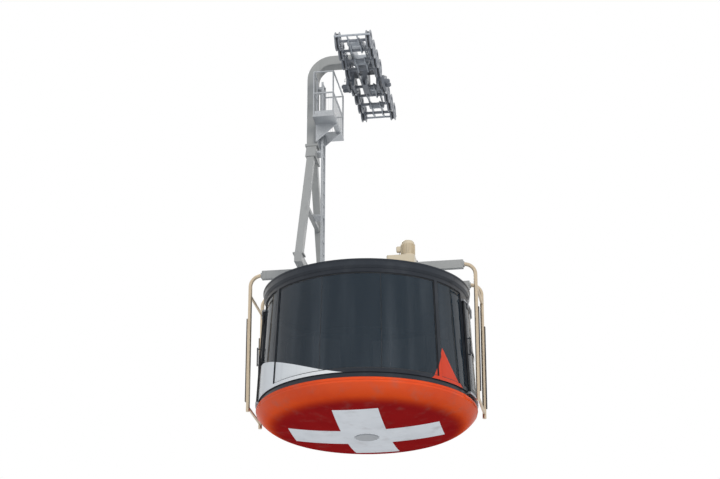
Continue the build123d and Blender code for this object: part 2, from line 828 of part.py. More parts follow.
# Slewing drive and equipment cabinet on the deck
drive_x = deck_x + deck_len / 2
deck_half_w = cross_tube_y - cross_tube_w / 2
with BuildPart() as slewing_drive:
    with BuildSketch(Plane.XY.offset(frame_top_z)):
        with Locations((drive_x, drive_d / 2 - deck_half_w)):
            RectangleRounded(drive_w, drive_d, drive_corner_r)
    extrude(amount=drive_h)
    with BuildSketch(Plane.XY.offset(frame_top_z + drive_h)):
        with Locations((drive_x + drive_w / 2 - motor_inset, drive_d / 2 - deck_half_w)):
            Circle(motor_r)
    extrude(amount=motor_h)
    chamfer(slewing_drive.faces().sort_by(Axis.Z)[-1].edges(), length=motor_bevel)
save(slewing_drive, "slewing_drive")
with BuildPart() as equipment_cabinet:
    with BuildSketch(Plane.XY.offset(frame_top_z)):
        with Locations((drive_x, deck_half_w - cabinet_d / 2)):
            Rectangle(cabinet_w, cabinet_d)
    extrude(amount=cabinet_h)
    chamfer(equipment_cabinet.edges().group_by(Axis.Z)[-1], length=cabinet_bevel)
save(equipment_cabinet, "equipment_cabinet")

# Slewing spigot: the roof hangs by its flange, which is held in the hub
spigot_foot_r = dome_flat_r - move_gap
spigot_foot_t = roof_clear / 2
with BuildPart() as slewing_spigot:
    with BuildSketch(Plane.XZ):
        with BuildLine():
            Polyline(
                (0, dome_top_z),
                (spigot_foot_r, dome_top_z),
                (spigot_foot_r, dome_top_z + spigot_foot_t),
                (spigot_r, dome_top_z + spigot_foot_t),
                (spigot_r, flange_z),
                (spigot_flange_r, flange_z),
                (spigot_flange_r, flange_z + spigot_flange_t),
                (0, flange_z + spigot_flange_t),
                close=True,
            )
        make_face()
    revolve(axis=Axis.Z)
save(slewing_spigot, "slewing_spigot")

# Roof: a low domed shell with radial ribs, and a curb of the same section let into it for the hatch
dome_mid = ((dome_edge_r + dome_flat_r) / 2, roof_edge_z + dome_crown * dome_h)
dome_in_r = wall_top_r - wall_t - fascia_lap
hatch_out_r = hatch_r + hatch_wall
hatch_curb_r = hatch_out_r + hatch_curb_w
with BuildSketch(Plane.XZ) as dome_section:
    with BuildLine():
        Polyline((0, dome_top_z - roof_t), (dome_flat_r, dome_top_z - roof_t))
        ThreePointArc(
            (dome_flat_r, dome_top_z - roof_t),
            (dome_mid[0], dome_mid[1] - roof_t),
            (dome_in_r, roof_edge_z),
        )
        Polyline((dome_in_r, roof_edge_z), (dome_edge_r, roof_edge_z))
        ThreePointArc((dome_edge_r, roof_edge_z), dome_mid, (dome_flat_r, dome_top_z))
        Polyline((dome_flat_r, dome_top_z), (0, dome_top_z), (0, dome_top_z - roof_t))
    make_face()
with BuildPart() as roof_shell:
    revolve(dome_section.sketch, axis=Axis.Z)
    for number in range(roof_ribs):
        with BuildSketch(radial_plane((number + 0.5) * 360 / roof_ribs - roof_rib_deg / 2)):
            with BuildLine():
                ThreePointArc(
                    (dome_flat_r, dome_top_z - roof_rib_h),
                    (dome_mid[0], dome_mid[1] - roof_rib_h),
                    (dome_edge_r - roof_t, roof_edge_z + roof_rib_h / 2),
                )
                Line(
                    (dome_edge_r - roof_t, roof_edge_z + roof_rib_h / 2),
                    (dome_edge_r - roof_t, roof_edge_z + 2 * roof_rib_h),
                )
                ThreePointArc(
                    (dome_edge_r - roof_t, roof_edge_z + 2 * roof_rib_h),
                    (dome_mid[0], dome_mid[1] + roof_rib_h),
                    (dome_flat_r, dome_top_z + roof_rib_h / 2),
                )
                Line((dome_flat_r, dome_top_z + roof_rib_h / 2), (dome_flat_r, dome_top_z - roof_rib_h))
            make_face()
        revolve(axis=Axis.Z, revolution_arc=roof_rib_deg)
    with BuildSketch(Plane.XY.offset(wall_top_z)):
        with Locations((hatch_x, 0)):
            Circle(hatch_curb_r)
    extrude(amount=dome_top_z - wall_top_z, mode=Mode.SUBTRACT)
save(roof_shell, "roof_shell")
with BuildPart() as hatch_curb:
    revolve(dome_section.sketch, axis=Axis.Z)
    with BuildSketch(Plane.XY.offset(wall_top_z)):
        with Locations((hatch_x, 0)):
            Circle(hatch_curb_r)
            Circle(hatch_out_r, mode=Mode.SUBTRACT)
    extrude(amount=dome_top_z - wall_top_z, mode=Mode.INTERSECT)
save(hatch_curb, "hatch_curb")

# Ceiling, with a trim ring let into it, and the hatch trunk that stands on the ring and fills the curb
trunk_top_z = roof_edge_z + hatch_stand
trunk_foot_z = wall_top_z + ceiling_t
with BuildPart() as ceiling:
    with BuildSketch(Plane.XY.offset(wall_top_z)):
        Circle(dome_in_r)
        with Locations((hatch_x, 0)):
            Circle(hatch_curb_r, mode=Mode.SUBTRACT)
    extrude(amount=ceiling_t)
save(ceiling, "ceiling")
hatch_rings = (
    ("hatch_trim", hatch_curb_r, wall_top_z, trunk_foot_z),
    ("hatch_trunk", hatch_out_r, trunk_foot_z, trunk_top_z),
)
for label, out_r, low_z, high_z in hatch_rings:
    with BuildPart() as hatch_ring:
        with BuildSketch(Plane.XY.offset(low_z)):
            with Locations((hatch_x, 0)):
                Circle(out_r)
                Circle(hatch_r, mode=Mode.SUBTRACT)
        extrude(amount=high_z - low_z)
    save(hatch_ring, label)

# Roof hatch: a lid on the trunk, hinged on its inner side
with BuildPart() as roof_hatch:
    with BuildSketch(Plane.XY.offset(trunk_top_z + seat_gap)):
        with Locations((hatch_x, 0)):
            Circle(hatch_out_r + hatch_lid_lap)
    extrude(amount=hatch_lid_t)
    chamfer(roof_hatch.edges().group_by(Axis.Z)[-1], length=hatch_lid_t / 3)
save(roof_hatch, "roof_hatch")

# Roof fascia: the dark band between the window frame and the dome, with a gutter lip
fascia_r = wall_top_r + fascia_out
with BuildPart() as roof_fascia:
    with BuildSketch(Plane.XZ):
        with BuildLine():
            Polyline(
                (dome_in_r + seat_gap, wall_top_z),
                (wall_top_r + fascia_step, wall_top_z),
                (fascia_r, wall_top_z + fascia_out),
                (fascia_r, roof_edge_z - 2 * gutter_h),
                (fascia_r + gutter_out, roof_edge_z - gutter_h),
                (fascia_r + gutter_out, roof_edge_z),
                (dome_in_r + seat_gap, roof_edge_z),
                close=True,
            )
        make_face()
    revolve(axis=Axis.Z)
save(roof_fascia, "roof_fascia")

# Window frame: a leaning ring wall with the panes and the doorways cut out
glazing_low_z = wall_foot_z + foot_ring_h
glazing_high_z = wall_top_z - head_ring_h
corner_low_deg = door_half_deg + jamb_deg
corner_high_deg = post_deg - post_half_deg
front_half_span = 90 - post_deg - post_half_deg
corner_spans = [
    (middle + start, corner_high_deg - corner_low_deg)
    for middle in (0, 180)
    for start in (corner_low_deg, -corner_high_deg)
]
front_spans = [(middle - front_half_span, 2 * front_half_span) for middle in (-90, 90)]
with BuildPart() as window_frame:
    with BuildSketch(Plane.XZ):
        with BuildLine():
            Polyline(*wall_band(wall_foot_z, wall_top_z, 0, wall_t), close=True)
        make_face()
    revolve(axis=Axis.Z)
    for start, span in corner_spans + front_spans:
        with BuildSketch(radial_plane(start)):
            with BuildLine():
                Polyline(*wall_band(glazing_low_z, glazing_high_z, wall_t, 3 * wall_t), close=True)
            make_face()
        revolve(axis=Axis.Z, revolution_arc=span, mode=Mode.SUBTRACT)
    for middle in (0, 180):
        with BuildSketch(radial_plane(middle - door_half_deg)):
            with BuildLine():
                Polyline(
                    *wall_band(wall_foot_z - door_lap_w, door_top_z - door_lap_w, wall_t, 3 * wall_t),
                    close=True,
                )
            make_face()
        revolve(axis=Axis.Z, revolution_arc=2 * door_half_deg, mode=Mode.SUBTRACT)
save(window_frame, "window_frame")

# Panes that fill their openings, half way through the wall
panes = (("front_pane", front_spans[:1]), ("rear_pane", front_spans[1:]), ("corner_panes", corner_spans))
pane_in = (pane_t - wall_t) / 2
for label, spans in panes:
    with BuildPart() as pane:
        for start, span in spans:
            with BuildSketch(radial_plane(start)):
                with BuildLine():
                    Polyline(*wall_band(glazing_low_z, glazing_high_z, pane_in, pane_t), close=True)
                make_face()
            revolve(axis=Axis.Z, revolution_arc=span)
    save(pane, label)

# Sill ring: the recessed band between the window frame and the bowl, with the floor's ledge
with BuildPart() as sill_ring:
    with BuildSketch(Plane.XZ):
        with BuildLine():
            Polyline(
                (sill_r - sill_w, wall_foot_z),
                (sill_r, wall_foot_z),
                (sill_r, bowl_rim_z),
                (sill_r - sill_w - floor_ledge_w, bowl_rim_z),
                (sill_r - sill_w - floor_ledge_w, floor_z - floor_t),
                (sill_r - sill_w, floor_z - floor_t),
                close=True,
            )
        make_face()
    revolve(axis=Axis.Z)
save(sill_ring, "sill_ring")

# Floor, laid on the sill ring's ledge
with BuildPart() as floor:
    with BuildSketch(Plane.XY.offset(floor_z - floor_t)):
        Circle(floor_r)
    extrude(amount=floor_t)
save(floor, "floor")

# Door tracks: a threshold under each door and a header over it, both long enough for the travel
lap_deg = span_deg(door_lap_w, mid_r)
leaf_half_deg = door_half_deg + lap_deg
track_span_deg = 2 * (leaf_half_deg + track_end_deg) + door_open_deg
track_r_out = door_out + track_lip_t
sides = (("right", 0, 1), ("left", 180, -1))
track_starts = [
    middle - leaf_half_deg - track_end_deg - (0 if way > 0 else door_open_deg) for _, middle, way in sides
]
with BuildPart() as door_thresholds:
    for start in track_starts:
        with BuildSketch(radial_plane(start)):
            with BuildLine():
                Polyline(
                    (sill_r, wall_foot_z - door_rail_h),
                    (wall_foot_r + track_r_out, wall_foot_z - door_rail_h),
                    (wall_foot_r + track_r_out, wall_foot_z),
                    (wall_foot_r, wall_foot_z),
                    (wall_foot_r, wall_foot_z - move_gap),
                    (sill_r, wall_foot_z - move_gap),
                    close=True,
                )
            make_face()
        revolve(axis=Axis.Z, revolution_arc=track_span_deg)
save(door_thresholds, "door_thresholds")
header_z = door_top_z + seat_gap
header_top_z = header_z + door_rail_h
with BuildPart() as door_headers:
    for start in track_starts:
        with BuildSketch(radial_plane(start)):
            with BuildLine():
                Polyline(
                    (wall_r(header_z) + seat_gap, header_z),
                    (wall_r(header_z) + track_r_out, header_z),
                    (wall_r(header_z) + track_r_out, header_top_z - track_lip_t),
                    (wall_r(header_z) + door_out, header_top_z),
                    (wall_r(header_top_z) + seat_gap, header_top_z),
                    close=True,
                )
            make_face()
        revolve(axis=Axis.Z, revolution_arc=track_span_deg)
save(door_headers, "door_headers")

# Doors: a curved leaf that runs outside the wall, with a grab bar and an upper and a lower pane
rim_deg = span_deg(door_rim, mid_r)
door_split_z = floor_z + rail_h
door_bands = (
    (door_foot_z + door_rim, door_split_z - door_mid_rail / 2),
    (door_split_z + door_mid_rail / 2, door_top_z - door_rim),
)
handle_foot_z = floor_z + handle_low
handle_z = handle_foot_z + handle_h / 2
handle_bar_r = wall_r(handle_z) + door_out + handle_stand_off
for side, middle, way in sides:
    with BuildPart() as door_leaf:
        with BuildSketch(radial_plane(middle - leaf_half_deg)):
            with BuildLine():
                Polyline(*wall_band(door_foot_z, door_top_z, door_out, door_t), close=True)
            make_face()
        revolve(axis=Axis.Z, revolution_arc=2 * leaf_half_deg)
        for low, high in door_bands:
            with BuildSketch(radial_plane(middle - leaf_half_deg + rim_deg)):
                with BuildLine():
                    Polyline(*wall_band(low, high, door_out + wall_t, door_t + 2 * wall_t), close=True)
                make_face()
            revolve(axis=Axis.Z, revolution_arc=2 * (leaf_half_deg - rim_deg), mode=Mode.SUBTRACT)
        grip = radians(middle - way * (leaf_half_deg - rim_deg / 2))
        with BuildSketch(Plane.XY.offset(handle_foot_z)):
            with Locations((handle_bar_r * cos(grip), handle_bar_r * sin(grip))):
                Circle(handle_r)
        extrude(amount=handle_h)
        for z in (handle_foot_z + 2 * handle_r, handle_foot_z + handle_h - 2 * handle_r):
            root_r = wall_r(z) + door_out - door_t / 2
            tube_run(
                (root_r * cos(grip), root_r * sin(grip), z),
                (handle_bar_r * cos(grip), handle_bar_r * sin(grip), z),
                handle_post_r,
            )
    save(door_leaf, f"door_{side}")
    with BuildPart() as door_glass:
        for low, high in door_bands:
            with BuildSketch(radial_plane(middle - leaf_half_deg + rim_deg)):
                with BuildLine():
                    Polyline(*wall_band(low, high, door_out - (door_t - pane_t) / 2, pane_t), close=True)
                make_face()
            revolve(axis=Axis.Z, revolution_arc=2 * (leaf_half_deg - rim_deg))
    save(door_glass, f"door_{side}_glass")

# Bowl: the round underbody, a shell with a rubbing bead, round shoulder and gently domed bottom
bowl_side_z = bowl_rim_z - bowl_rim_h
chine_z = bowl_rim_z - bowl_chine_drop
bowl_foot_z = bowl_rim_z - bowl_depth
bead_top_z = bowl_rim_z - bowl_bead_h
side_mid = (
    (bowl_rim_r + bowl_chine_r) / 2 + shoulder_bulge,
    (bowl_side_z + chine_z) / 2 - shoulder_bulge / 2,
)
base_mid = ((bowl_chine_r + bowl_flat_r) / 2, chine_z - base_crown * (bowl_depth - bowl_chine_drop))
lip_r = sill_r - bowl_lip_seat
with BuildPart() as bowl:
    with BuildSketch(Plane.XZ):
        with BuildLine():
            Polyline(
                (lip_r, bowl_rim_z),
                (bowl_rim_r - bowl_bead_t, bowl_rim_z),
                (bowl_rim_r, bowl_rim_z - bowl_bead_t),
                (bowl_rim_r, bead_top_z),
                (bowl_rim_r + bowl_bead_t, bead_top_z - bowl_bead_t),
                (bowl_rim_r + bowl_bead_t, bead_top_z - bowl_bead_h + bowl_bead_t),
                (bowl_rim_r, bead_top_z - bowl_bead_h),
                (bowl_rim_r, bowl_side_z),
            )
            ThreePointArc((bowl_rim_r, bowl_side_z), side_mid, (bowl_chine_r, chine_z))
            ThreePointArc((bowl_chine_r, chine_z), base_mid, (bowl_flat_r, bowl_foot_z))
            Polyline(
                (bowl_flat_r, bowl_foot_z),
                (0, bowl_foot_z),
                (0, bowl_foot_z + bowl_t),
                (bowl_flat_r, bowl_foot_z + bowl_t),
            )
            ThreePointArc(
                (bowl_flat_r, bowl_foot_z + bowl_t),
                (base_mid[0], base_mid[1] + bowl_t),
                (bowl_chine_r - bowl_t / 2, chine_z + bowl_t),
            )
            ThreePointArc(
                (bowl_chine_r - bowl_t / 2, chine_z + bowl_t),
                (side_mid[0] - shoulder_in, side_mid[1] + shoulder_in),
                (bowl_rim_r - bowl_t, bowl_side_z),
            )
            Polyline(
                (bowl_rim_r - bowl_t, bowl_side_z),
                (bowl_rim_r - bowl_t, bowl_rim_z - bowl_t),
                (lip_r, bowl_rim_z - bowl_t),
                (lip_r, bowl_rim_z),
            )
        make_face()
    revolve(axis=Axis.Z)
save(bowl, "bowl")

# Bottom cover: a round plate under the flat middle of the bowl
with BuildPart() as bottom_cover:
    with BuildSketch(Plane.XY.offset(bowl_foot_z)):
        Circle(bottom_cover_r)
    extrude(amount=-bottom_cover_t)
    chamfer(bottom_cover.edges().group_by(Axis.Z)[0], length=bottom_cover_t / 2)
save(bottom_cover, "bottom_cover")

# Handrail: an arc of tube along the front and the rear windows, on floor posts coped to its underside
rail_z = floor_z + rail_h
rail_ring_r = wall_r(rail_z) - wall_t - rail_wall_gap - rail_r
with BuildPart() as handrail:
    for middle in (-90, 90):
        with BuildSketch(radial_plane(middle - rail_half_deg)):
            with Locations((rail_ring_r, rail_z)):
                Circle(rail_r)
        revolve(axis=Axis.Z, revolution_arc=2 * rail_half_deg)
save(handrail, "handrail")
with BuildPart() as handrail_posts:
    with BuildSketch(Plane.XY.offset(floor_z)):
        for middle in (-90, 90):
            with PolarLocations(
                rail_ring_r,
                rail_posts,
                start_angle=middle - rail_half_deg + rail_end_deg,
                angular_range=2 * (rail_half_deg - rail_end_deg),
                endpoint=True,
            ):
                Circle(rail_post_r)
    extrude(amount=rail_h)
    add(handrail.part, mode=Mode.SUBTRACT)
save(handrail_posts, "handrail_posts")

# Attendant's console: a plinth with a wider, sloping top
console_y = floor_r - console_in
console_top_z = floor_z + console_h
with BuildPart() as console:
    with BuildSketch(side_plane(-console_w / 2, -console_y)):
        with BuildLine():
            Polyline(
                (-console_d / 4, floor_z),
                (console_d / 4, floor_z),
                (console_d / 4, floor_z + console_h / 2),
                (console_d / 2, floor_z + console_shelf_h),
                (console_d / 2, console_top_z - console_d / 2),
                (-console_d / 2, console_top_z),
                (-console_d / 2, floor_z + console_shelf_h),
                (-console_d / 4, floor_z + console_h / 2),
                close=True,
            )
        make_face()
    extrude(amount=console_w)
save(console, "console")
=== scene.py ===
import json
import math

import bmesh
import bpy
from mathutils import Matrix, Vector


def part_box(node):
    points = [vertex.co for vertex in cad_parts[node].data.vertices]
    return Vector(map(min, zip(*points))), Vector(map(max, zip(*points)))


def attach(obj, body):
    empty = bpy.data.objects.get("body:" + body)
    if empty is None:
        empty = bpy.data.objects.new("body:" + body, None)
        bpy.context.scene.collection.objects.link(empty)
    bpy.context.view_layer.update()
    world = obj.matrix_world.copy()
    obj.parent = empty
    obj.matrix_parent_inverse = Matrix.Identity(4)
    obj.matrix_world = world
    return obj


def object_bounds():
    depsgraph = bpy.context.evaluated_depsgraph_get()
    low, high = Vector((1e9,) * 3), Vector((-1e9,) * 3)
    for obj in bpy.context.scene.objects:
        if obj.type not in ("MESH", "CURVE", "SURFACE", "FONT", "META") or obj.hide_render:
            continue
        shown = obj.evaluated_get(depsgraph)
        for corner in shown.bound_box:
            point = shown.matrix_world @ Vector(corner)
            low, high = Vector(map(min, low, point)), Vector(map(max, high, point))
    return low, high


# A round revolving cable car cabin under its hanger and rope carriage. Metres, +Z up,
# Y along the ropes, the cabin's front faces -Y.

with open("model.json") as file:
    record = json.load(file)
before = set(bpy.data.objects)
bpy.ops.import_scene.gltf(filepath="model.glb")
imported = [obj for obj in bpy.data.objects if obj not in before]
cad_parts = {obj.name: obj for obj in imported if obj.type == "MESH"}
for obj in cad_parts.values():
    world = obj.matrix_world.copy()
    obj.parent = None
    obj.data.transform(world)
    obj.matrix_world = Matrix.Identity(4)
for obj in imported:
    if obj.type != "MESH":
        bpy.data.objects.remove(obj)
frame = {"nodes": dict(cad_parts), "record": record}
cad_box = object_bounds()
node = frame["nodes"]


class Wire:
    """An output in a finish's node tree: arithmetic on it adds Math nodes."""

    def __init__(self, finish, socket):
        self.finish = finish
        self.socket = socket

    def maths(self, operation, first, second=None):
        values = {0: first}
        if second is not None:
            values[1] = second
        return self.finish.node("ShaderNodeMath", {"operation": operation}, values)

    def __add__(self, other):
        return self.maths("ADD", self, other)

    def __radd__(self, other):
        return self.maths("ADD", other, self)

    def __sub__(self, other):
        return self.maths("SUBTRACT", self, other)

    def __rsub__(self, other):
        return self.maths("SUBTRACT", other, self)

    def __mul__(self, other):
        return self.maths("MULTIPLY", self, other)

    def __rmul__(self, other):
        return self.maths("MULTIPLY", other, self)

    def __abs__(self):
        return self.maths("ABSOLUTE", self)

    def __lt__(self, other):
        return self.maths("LESS_THAN", self, other)

    def __gt__(self, other):
        return self.maths("GREATER_THAN", self, other)

    def __mod__(self, other):
        return self.maths("FLOORED_MODULO", self, other)

    def __rmod__(self, other):
        return self.maths("FLOORED_MODULO", other, self)

    def capped(self):
        return self.finish.node("ShaderNodeClamp", {}, {0: self})

    def step(self, low, high):
        """0 below low, 1 above high and a smooth slope between them."""
        settings = {"interpolation_type": "SMOOTHSTEP"}
        return self.finish.node("ShaderNodeMapRange", settings, {0: self, 1: low, 2: high})


class Finish:
    """One material: adds nodes, and feeds the surface's own sockets."""

    def __init__(self, name, colour, roughness, metallic=0.0, coat=0.0, **constants):
        self.material = bpy.data.materials.new(name)
        self.material.use_nodes = True
        self.tree = self.material.node_tree
        self.surface = self.tree.nodes["Principled BSDF"]
        self.feed(self.surface.inputs["Base Color"], (*colour, 1.0))
        self.feed(self.surface.inputs["Roughness"], roughness)
        self.feed(self.surface.inputs["Metallic"], metallic)
        self.feed(self.surface.inputs["Coat Weight"], coat)
        for socket, value in constants.items():
            self.feed(self.surface.inputs[socket.replace("_", " ")], value)
        self.at = self.node("ShaderNodeTexCoord", output="Object")
        place = self.node("ShaderNodeSeparateXYZ", {}, {0: self.at})
        self.x = Wire(self, place.socket.node.outputs[0])
        self.y = Wire(self, place.socket.node.outputs[1])
        self.z = Wire(self, place.socket.node.outputs[2])

    def feed(self, socket, value):
        if isinstance(value, Wire):
            self.tree.links.new(value.socket, socket)
        else:
            socket.default_value = value

    def node(self, kind, settings=None, values=None, output=0):
        """A node of any kind: its settings first, then its values or links."""
        made = self.tree.nodes.new(kind)
        for key, value in (settings or {}).items():
            setattr(made, key, value)
        for key, value in (values or {}).items():
            self.feed(made.inputs[key], value)
        return Wire(self, made.outputs[output])

    def noise(self, scale, detail=3.0, stretch=(1, 1, 1), roughness=0.55):
        """Soft noise from 0 to 1, at a number of features a metre."""
        spread = self.node("ShaderNodeVectorMath", {"operation": "MULTIPLY"}, {0: self.at, 1: stretch})
        values = {"Vector": spread, "Scale": scale, "Detail": detail, "Roughness": roughness}
        return self.node("ShaderNodeTexNoise", {}, values)

    def mix(self, amount, first, second):
        """A blend of two colours, or of a link and a colour."""
        colours = [value if isinstance(value, Wire) else (*value, 1.0) for value in (first, second)]
        values = {0: amount, 6: colours[0], 7: colours[1]}
        return self.node("ShaderNodeMix", {"data_type": "RGBA"}, values, output=2)

    def colour(self, value):
        self.feed(self.surface.inputs["Base Color"], value)

    def rough(self, value):
        self.feed(self.surface.inputs["Roughness"], value)

    def bump(self, height, distance, strength=1.0):
        values = {"Height": height, "Distance": distance, "Strength": strength}
        normal = self.node("ShaderNodeBump", {}, values)
        self.feed(self.surface.inputs["Normal"], normal)


def painted(name, colour, roughness=0.38, coat=0.25, dirt=0.10, shine=0.5):
    """Sprayed paint: cloudy dust, faint runs down the surface and orange peel."""
    finish = Finish(name, colour, roughness, coat=coat, Specular_IOR_Level=shine)
    dust = finish.noise(2.2, 4.0).step(0.42, 0.78)
    runs = finish.noise(9.0, 2.0, (1, 1, 0.08)).step(0.52, 0.86)
    dark = tuple(c * 0.62 for c in colour)
    pale = tuple(c + (0.55 - c) * 0.16 for c in colour)
    base = finish.mix(dust * dirt * 4.0, colour, pale)
    finish.colour(finish.mix(runs * dirt * 4.0, base, dark))
    finish.rough(roughness + dust * 0.14 + runs * 0.10)
    finish.bump(finish.noise(160.0, 2.0), 0.0004)
    return finish


def steel(name, colour, roughness=0.34, stretch=(1, 1, 1), grain=0.0003):
    """Bare or plated metal: fine drawn grain and cloudy handling marks."""
    finish = Finish(name, colour, roughness, metallic=0.9)
    grain_lines = finish.noise(90.0, 3.0, stretch)
    marks = finish.noise(6.0, 4.0).step(0.4, 0.8)
    dark = tuple(c * 0.7 for c in colour)
    finish.colour(finish.mix(marks * 0.5, colour, dark))
    finish.rough(roughness + marks * 0.16 + grain_lines * 0.06)
    finish.bump(grain_lines, grain)
    return finish


def zinc(name, colour):
    """Galvanised steel with its crystal spangle."""
    finish = Finish(name, colour, 0.42, metallic=0.85)
    cells = {"Scale": 60.0, "Vector": finish.at}
    spangle = finish.node("ShaderNodeTexVoronoi", {"feature": "F1"}, cells, "Distance")
    dark = tuple(c * 0.8 for c in colour)
    finish.colour(finish.mix(spangle.step(0.1, 0.8), colour, dark))
    finish.rough(0.36 + spangle * 0.25)
    finish.bump(spangle, 0.0003)
    return finish


def rubber(name, colour=(0.016, 0.016, 0.017)):
    """Black rubber, chalky where it has weathered."""
    finish = Finish(name, colour, 0.7)
    chalk = finish.noise(14.0, 4.0).step(0.4, 0.85)
    finish.colour(finish.mix(chalk * 0.6, colour, (0.07, 0.07, 0.072)))
    finish.rough(0.62 + chalk * 0.25)
    finish.bump(finish.noise(320.0, 2.0), 0.0004)
    return finish


# Sizes of the marks on the bowl
bowl_low, bowl_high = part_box("bowl")
chine_z = bowl_low.z + 0.15
cross_arm_half = 0.49
cross_reach = 1.64


def bowl_finish():
    """Orange-red sides as painted light, a deep red underneath as painted shade, and a plain white cross.
    """
    finish = Finish("red_gloss", (0.78, 0.062, 0.016), 0.3, Coat_Roughness=0.15, Specular_IOR_Level=0.0)
    finish.feed(finish.surface.inputs["Coat Weight"], finish.z.step(chine_z + 0.05, chine_z + 0.3) * 0.4)
    cloud = finish.noise(1.3, 3.0).step(0.35, 0.8)
    # Painted light and shade on one red paint: the sides are a lit orange-red, and below the chine the
    # deep red is painted shade.
    lit_side_red = finish.mix(cloud * 0.5, (0.82, 0.085, 0.014), (0.68, 0.048, 0.012))
    shaded_under_red = finish.mix(cloud * 0.5, (0.34, 0.012, 0.012), (0.25, 0.008, 0.010))
    red = finish.mix(finish.z.step(chine_z, chine_z + 0.13), shaded_under_red, lit_side_red)
    under = 1.0 - finish.z.step(chine_z - 0.005, chine_z + 0.015)
    arm_x = (abs(finish.x) < cross_arm_half) * (abs(finish.y) < cross_reach)
    arm_y = (abs(finish.y) < cross_arm_half) * (abs(finish.x) < cross_reach)
    cross = (arm_x + arm_y).capped() * under
    white = finish.mix(cloud * 0.6, (0.86, 0.86, 0.85), (0.72, 0.72, 0.71))
    body = finish.mix(cross, red, white)
    grime = finish.noise(3.0, 5.0).step(0.5, 0.9) * 0.35
    finish.colour(finish.mix(grime, body, (0.25, 0.17, 0.14)))
    finish.rough(0.2 + grime * 0.5)
    return finish


def window_glass(name):
    """Dark blue-grey tinted safety glass with a faint film of dust and water marks."""
    finish = Finish(name, (0.018, 0.030, 0.045), 0.04, Specular_IOR_Level=0.3, Alpha=0.76)
    film = finish.noise(2.6, 5.0, (1, 1, 0.06)).step(0.42, 0.82)
    tint = finish.mix(film * 0.6, (0.014, 0.026, 0.038), (0.07, 0.085, 0.10))
    finish.colour(tint)
    finish.rough(0.03 + film * 0.10)
    return finish


def guide_finish():
    """Champagne metallic tube, with the rubbing strips on its outer side in black nylon."""
    strip_seat_x = 2.5432
    finish = steel("guide_tube", (0.60, 0.49, 0.36), 0.36, (8, 8, 0.6))
    strip = abs(finish.x) > strip_seat_x
    scuffs = finish.noise(40.0, 4.0, (1, 1, 0.15)).step(0.45, 0.8)
    nylon = finish.mix(scuffs * 0.6, (0.022, 0.022, 0.024), (0.10, 0.10, 0.105))
    wear = finish.noise(7.0, 4.0).step(0.4, 0.85)
    gold = finish.mix(wear * 0.4, (0.62, 0.51, 0.37), (0.44, 0.36, 0.27))
    finish.colour(finish.mix(strip, gold, nylon))
    finish.feed(finish.surface.inputs["Metallic"], 0.85 - strip * 0.85)
    finish.rough(0.36 + strip * 0.2 + scuffs * 0.08)
    return finish


finishes = {
    "carriage_paint": painted("carriage_paint", (0.40, 0.42, 0.44)),
    "brake_steel": painted("brake_steel", (0.15, 0.16, 0.18), 0.45),
    "shaft_steel": steel("shaft_steel", (0.56, 0.57, 0.59), 0.3, (1, 14, 14)),
    "hanger_paint": painted("hanger_paint", (0.33, 0.33, 0.315), 0.42),
    "ladder_zinc": zinc("ladder_zinc", (0.58, 0.60, 0.62)),
    "guide_tube": guide_finish(),
    "drive_housing": painted("drive_housing", (0.66, 0.56, 0.40), 0.42),
    "cabinet_paint": painted("cabinet_paint", (0.11, 0.12, 0.14), 0.4),
    "roof_paint": painted("roof_paint", (0.62, 0.63, 0.64), 0.45),
    "dark_band": painted("dark_band", (0.018, 0.023, 0.031), 0.3, 0.1, 0.05, 0.25),
    "interior_panel": painted("interior_panel", (0.52, 0.53, 0.54), 0.5, 0.0, 0.04),
    "dark_frame": painted("dark_frame", (0.016, 0.020, 0.027), 0.36, 0.05, 0.05, 0.25),
    "tinted_glass": window_glass("tinted_glass"),
    "floor_cover": rubber("floor_cover", (0.06, 0.06, 0.065)),
    "track_alloy": steel("track_alloy", (0.40, 0.41, 0.43), 0.38),
    "handrail_steel": steel("handrail_steel", (0.62, 0.63, 0.65), 0.28),
    "red_gloss": bowl_finish(),
    "cover_grey": painted("cover_grey", (0.34, 0.35, 0.36), 0.45),
    "wheel_steel": painted("wheel_steel", (0.22, 0.23, 0.25), 0.4),
}
slot_of = {row["node"]: row["material_slot"] for row in frame["record"]["subparts"]}
for name, carried in node.items():
    carried.data.materials.clear()
    carried.data.materials.append(finishes[slot_of[name]].material)

# Sizes that the fitted pieces share with the model
wall_low, wall_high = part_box("window_frame")
wall_foot_r = wall_high.y
wall_top_r = 2.23
pane_inset = 0.027
pane_t = 0.016
foot_ring_h = 0.08
head_ring_h = 0.09
door_half_deg = 13.23
jamb_deg = 2.5
post_deg = 50.0
post_half_deg = 1.05
door_out = 0.054
door_rim = 0.086
door_lap_deg = 0.85


def wall_r(z):
    """Outer radius of the leaning window wall at a height."""
    share = (wall_high.z - z) / (wall_high.z - wall_low.z)
    return wall_top_r + (wall_foot_r - wall_top_r) * share


def around(radius, degrees, z):
    """Point at a radius, an angle from +X and a height."""
    angle = math.radians(degrees)
    return Vector((radius * math.cos(angle), radius * math.sin(angle), z))


def on_wall(degrees, z, out=0.0):
    """Point on the leaning wall, or out from it."""
    return around(wall_r(z) + out, degrees, z)


def at(x, y, z):
    """Frame at a place, with its axes unturned."""
    return Matrix.Translation((x, y, z))


def spin(degrees):
    """A turn about the local Z."""
    return Matrix.Rotation(math.radians(degrees), 4, "Z")


def toward(point, direction):
    """Frame at a point whose local Z looks along a direction."""
    turn = Vector(direction).to_track_quat("Z", "Y")
    return at(*point) @ turn.to_matrix().to_4x4()


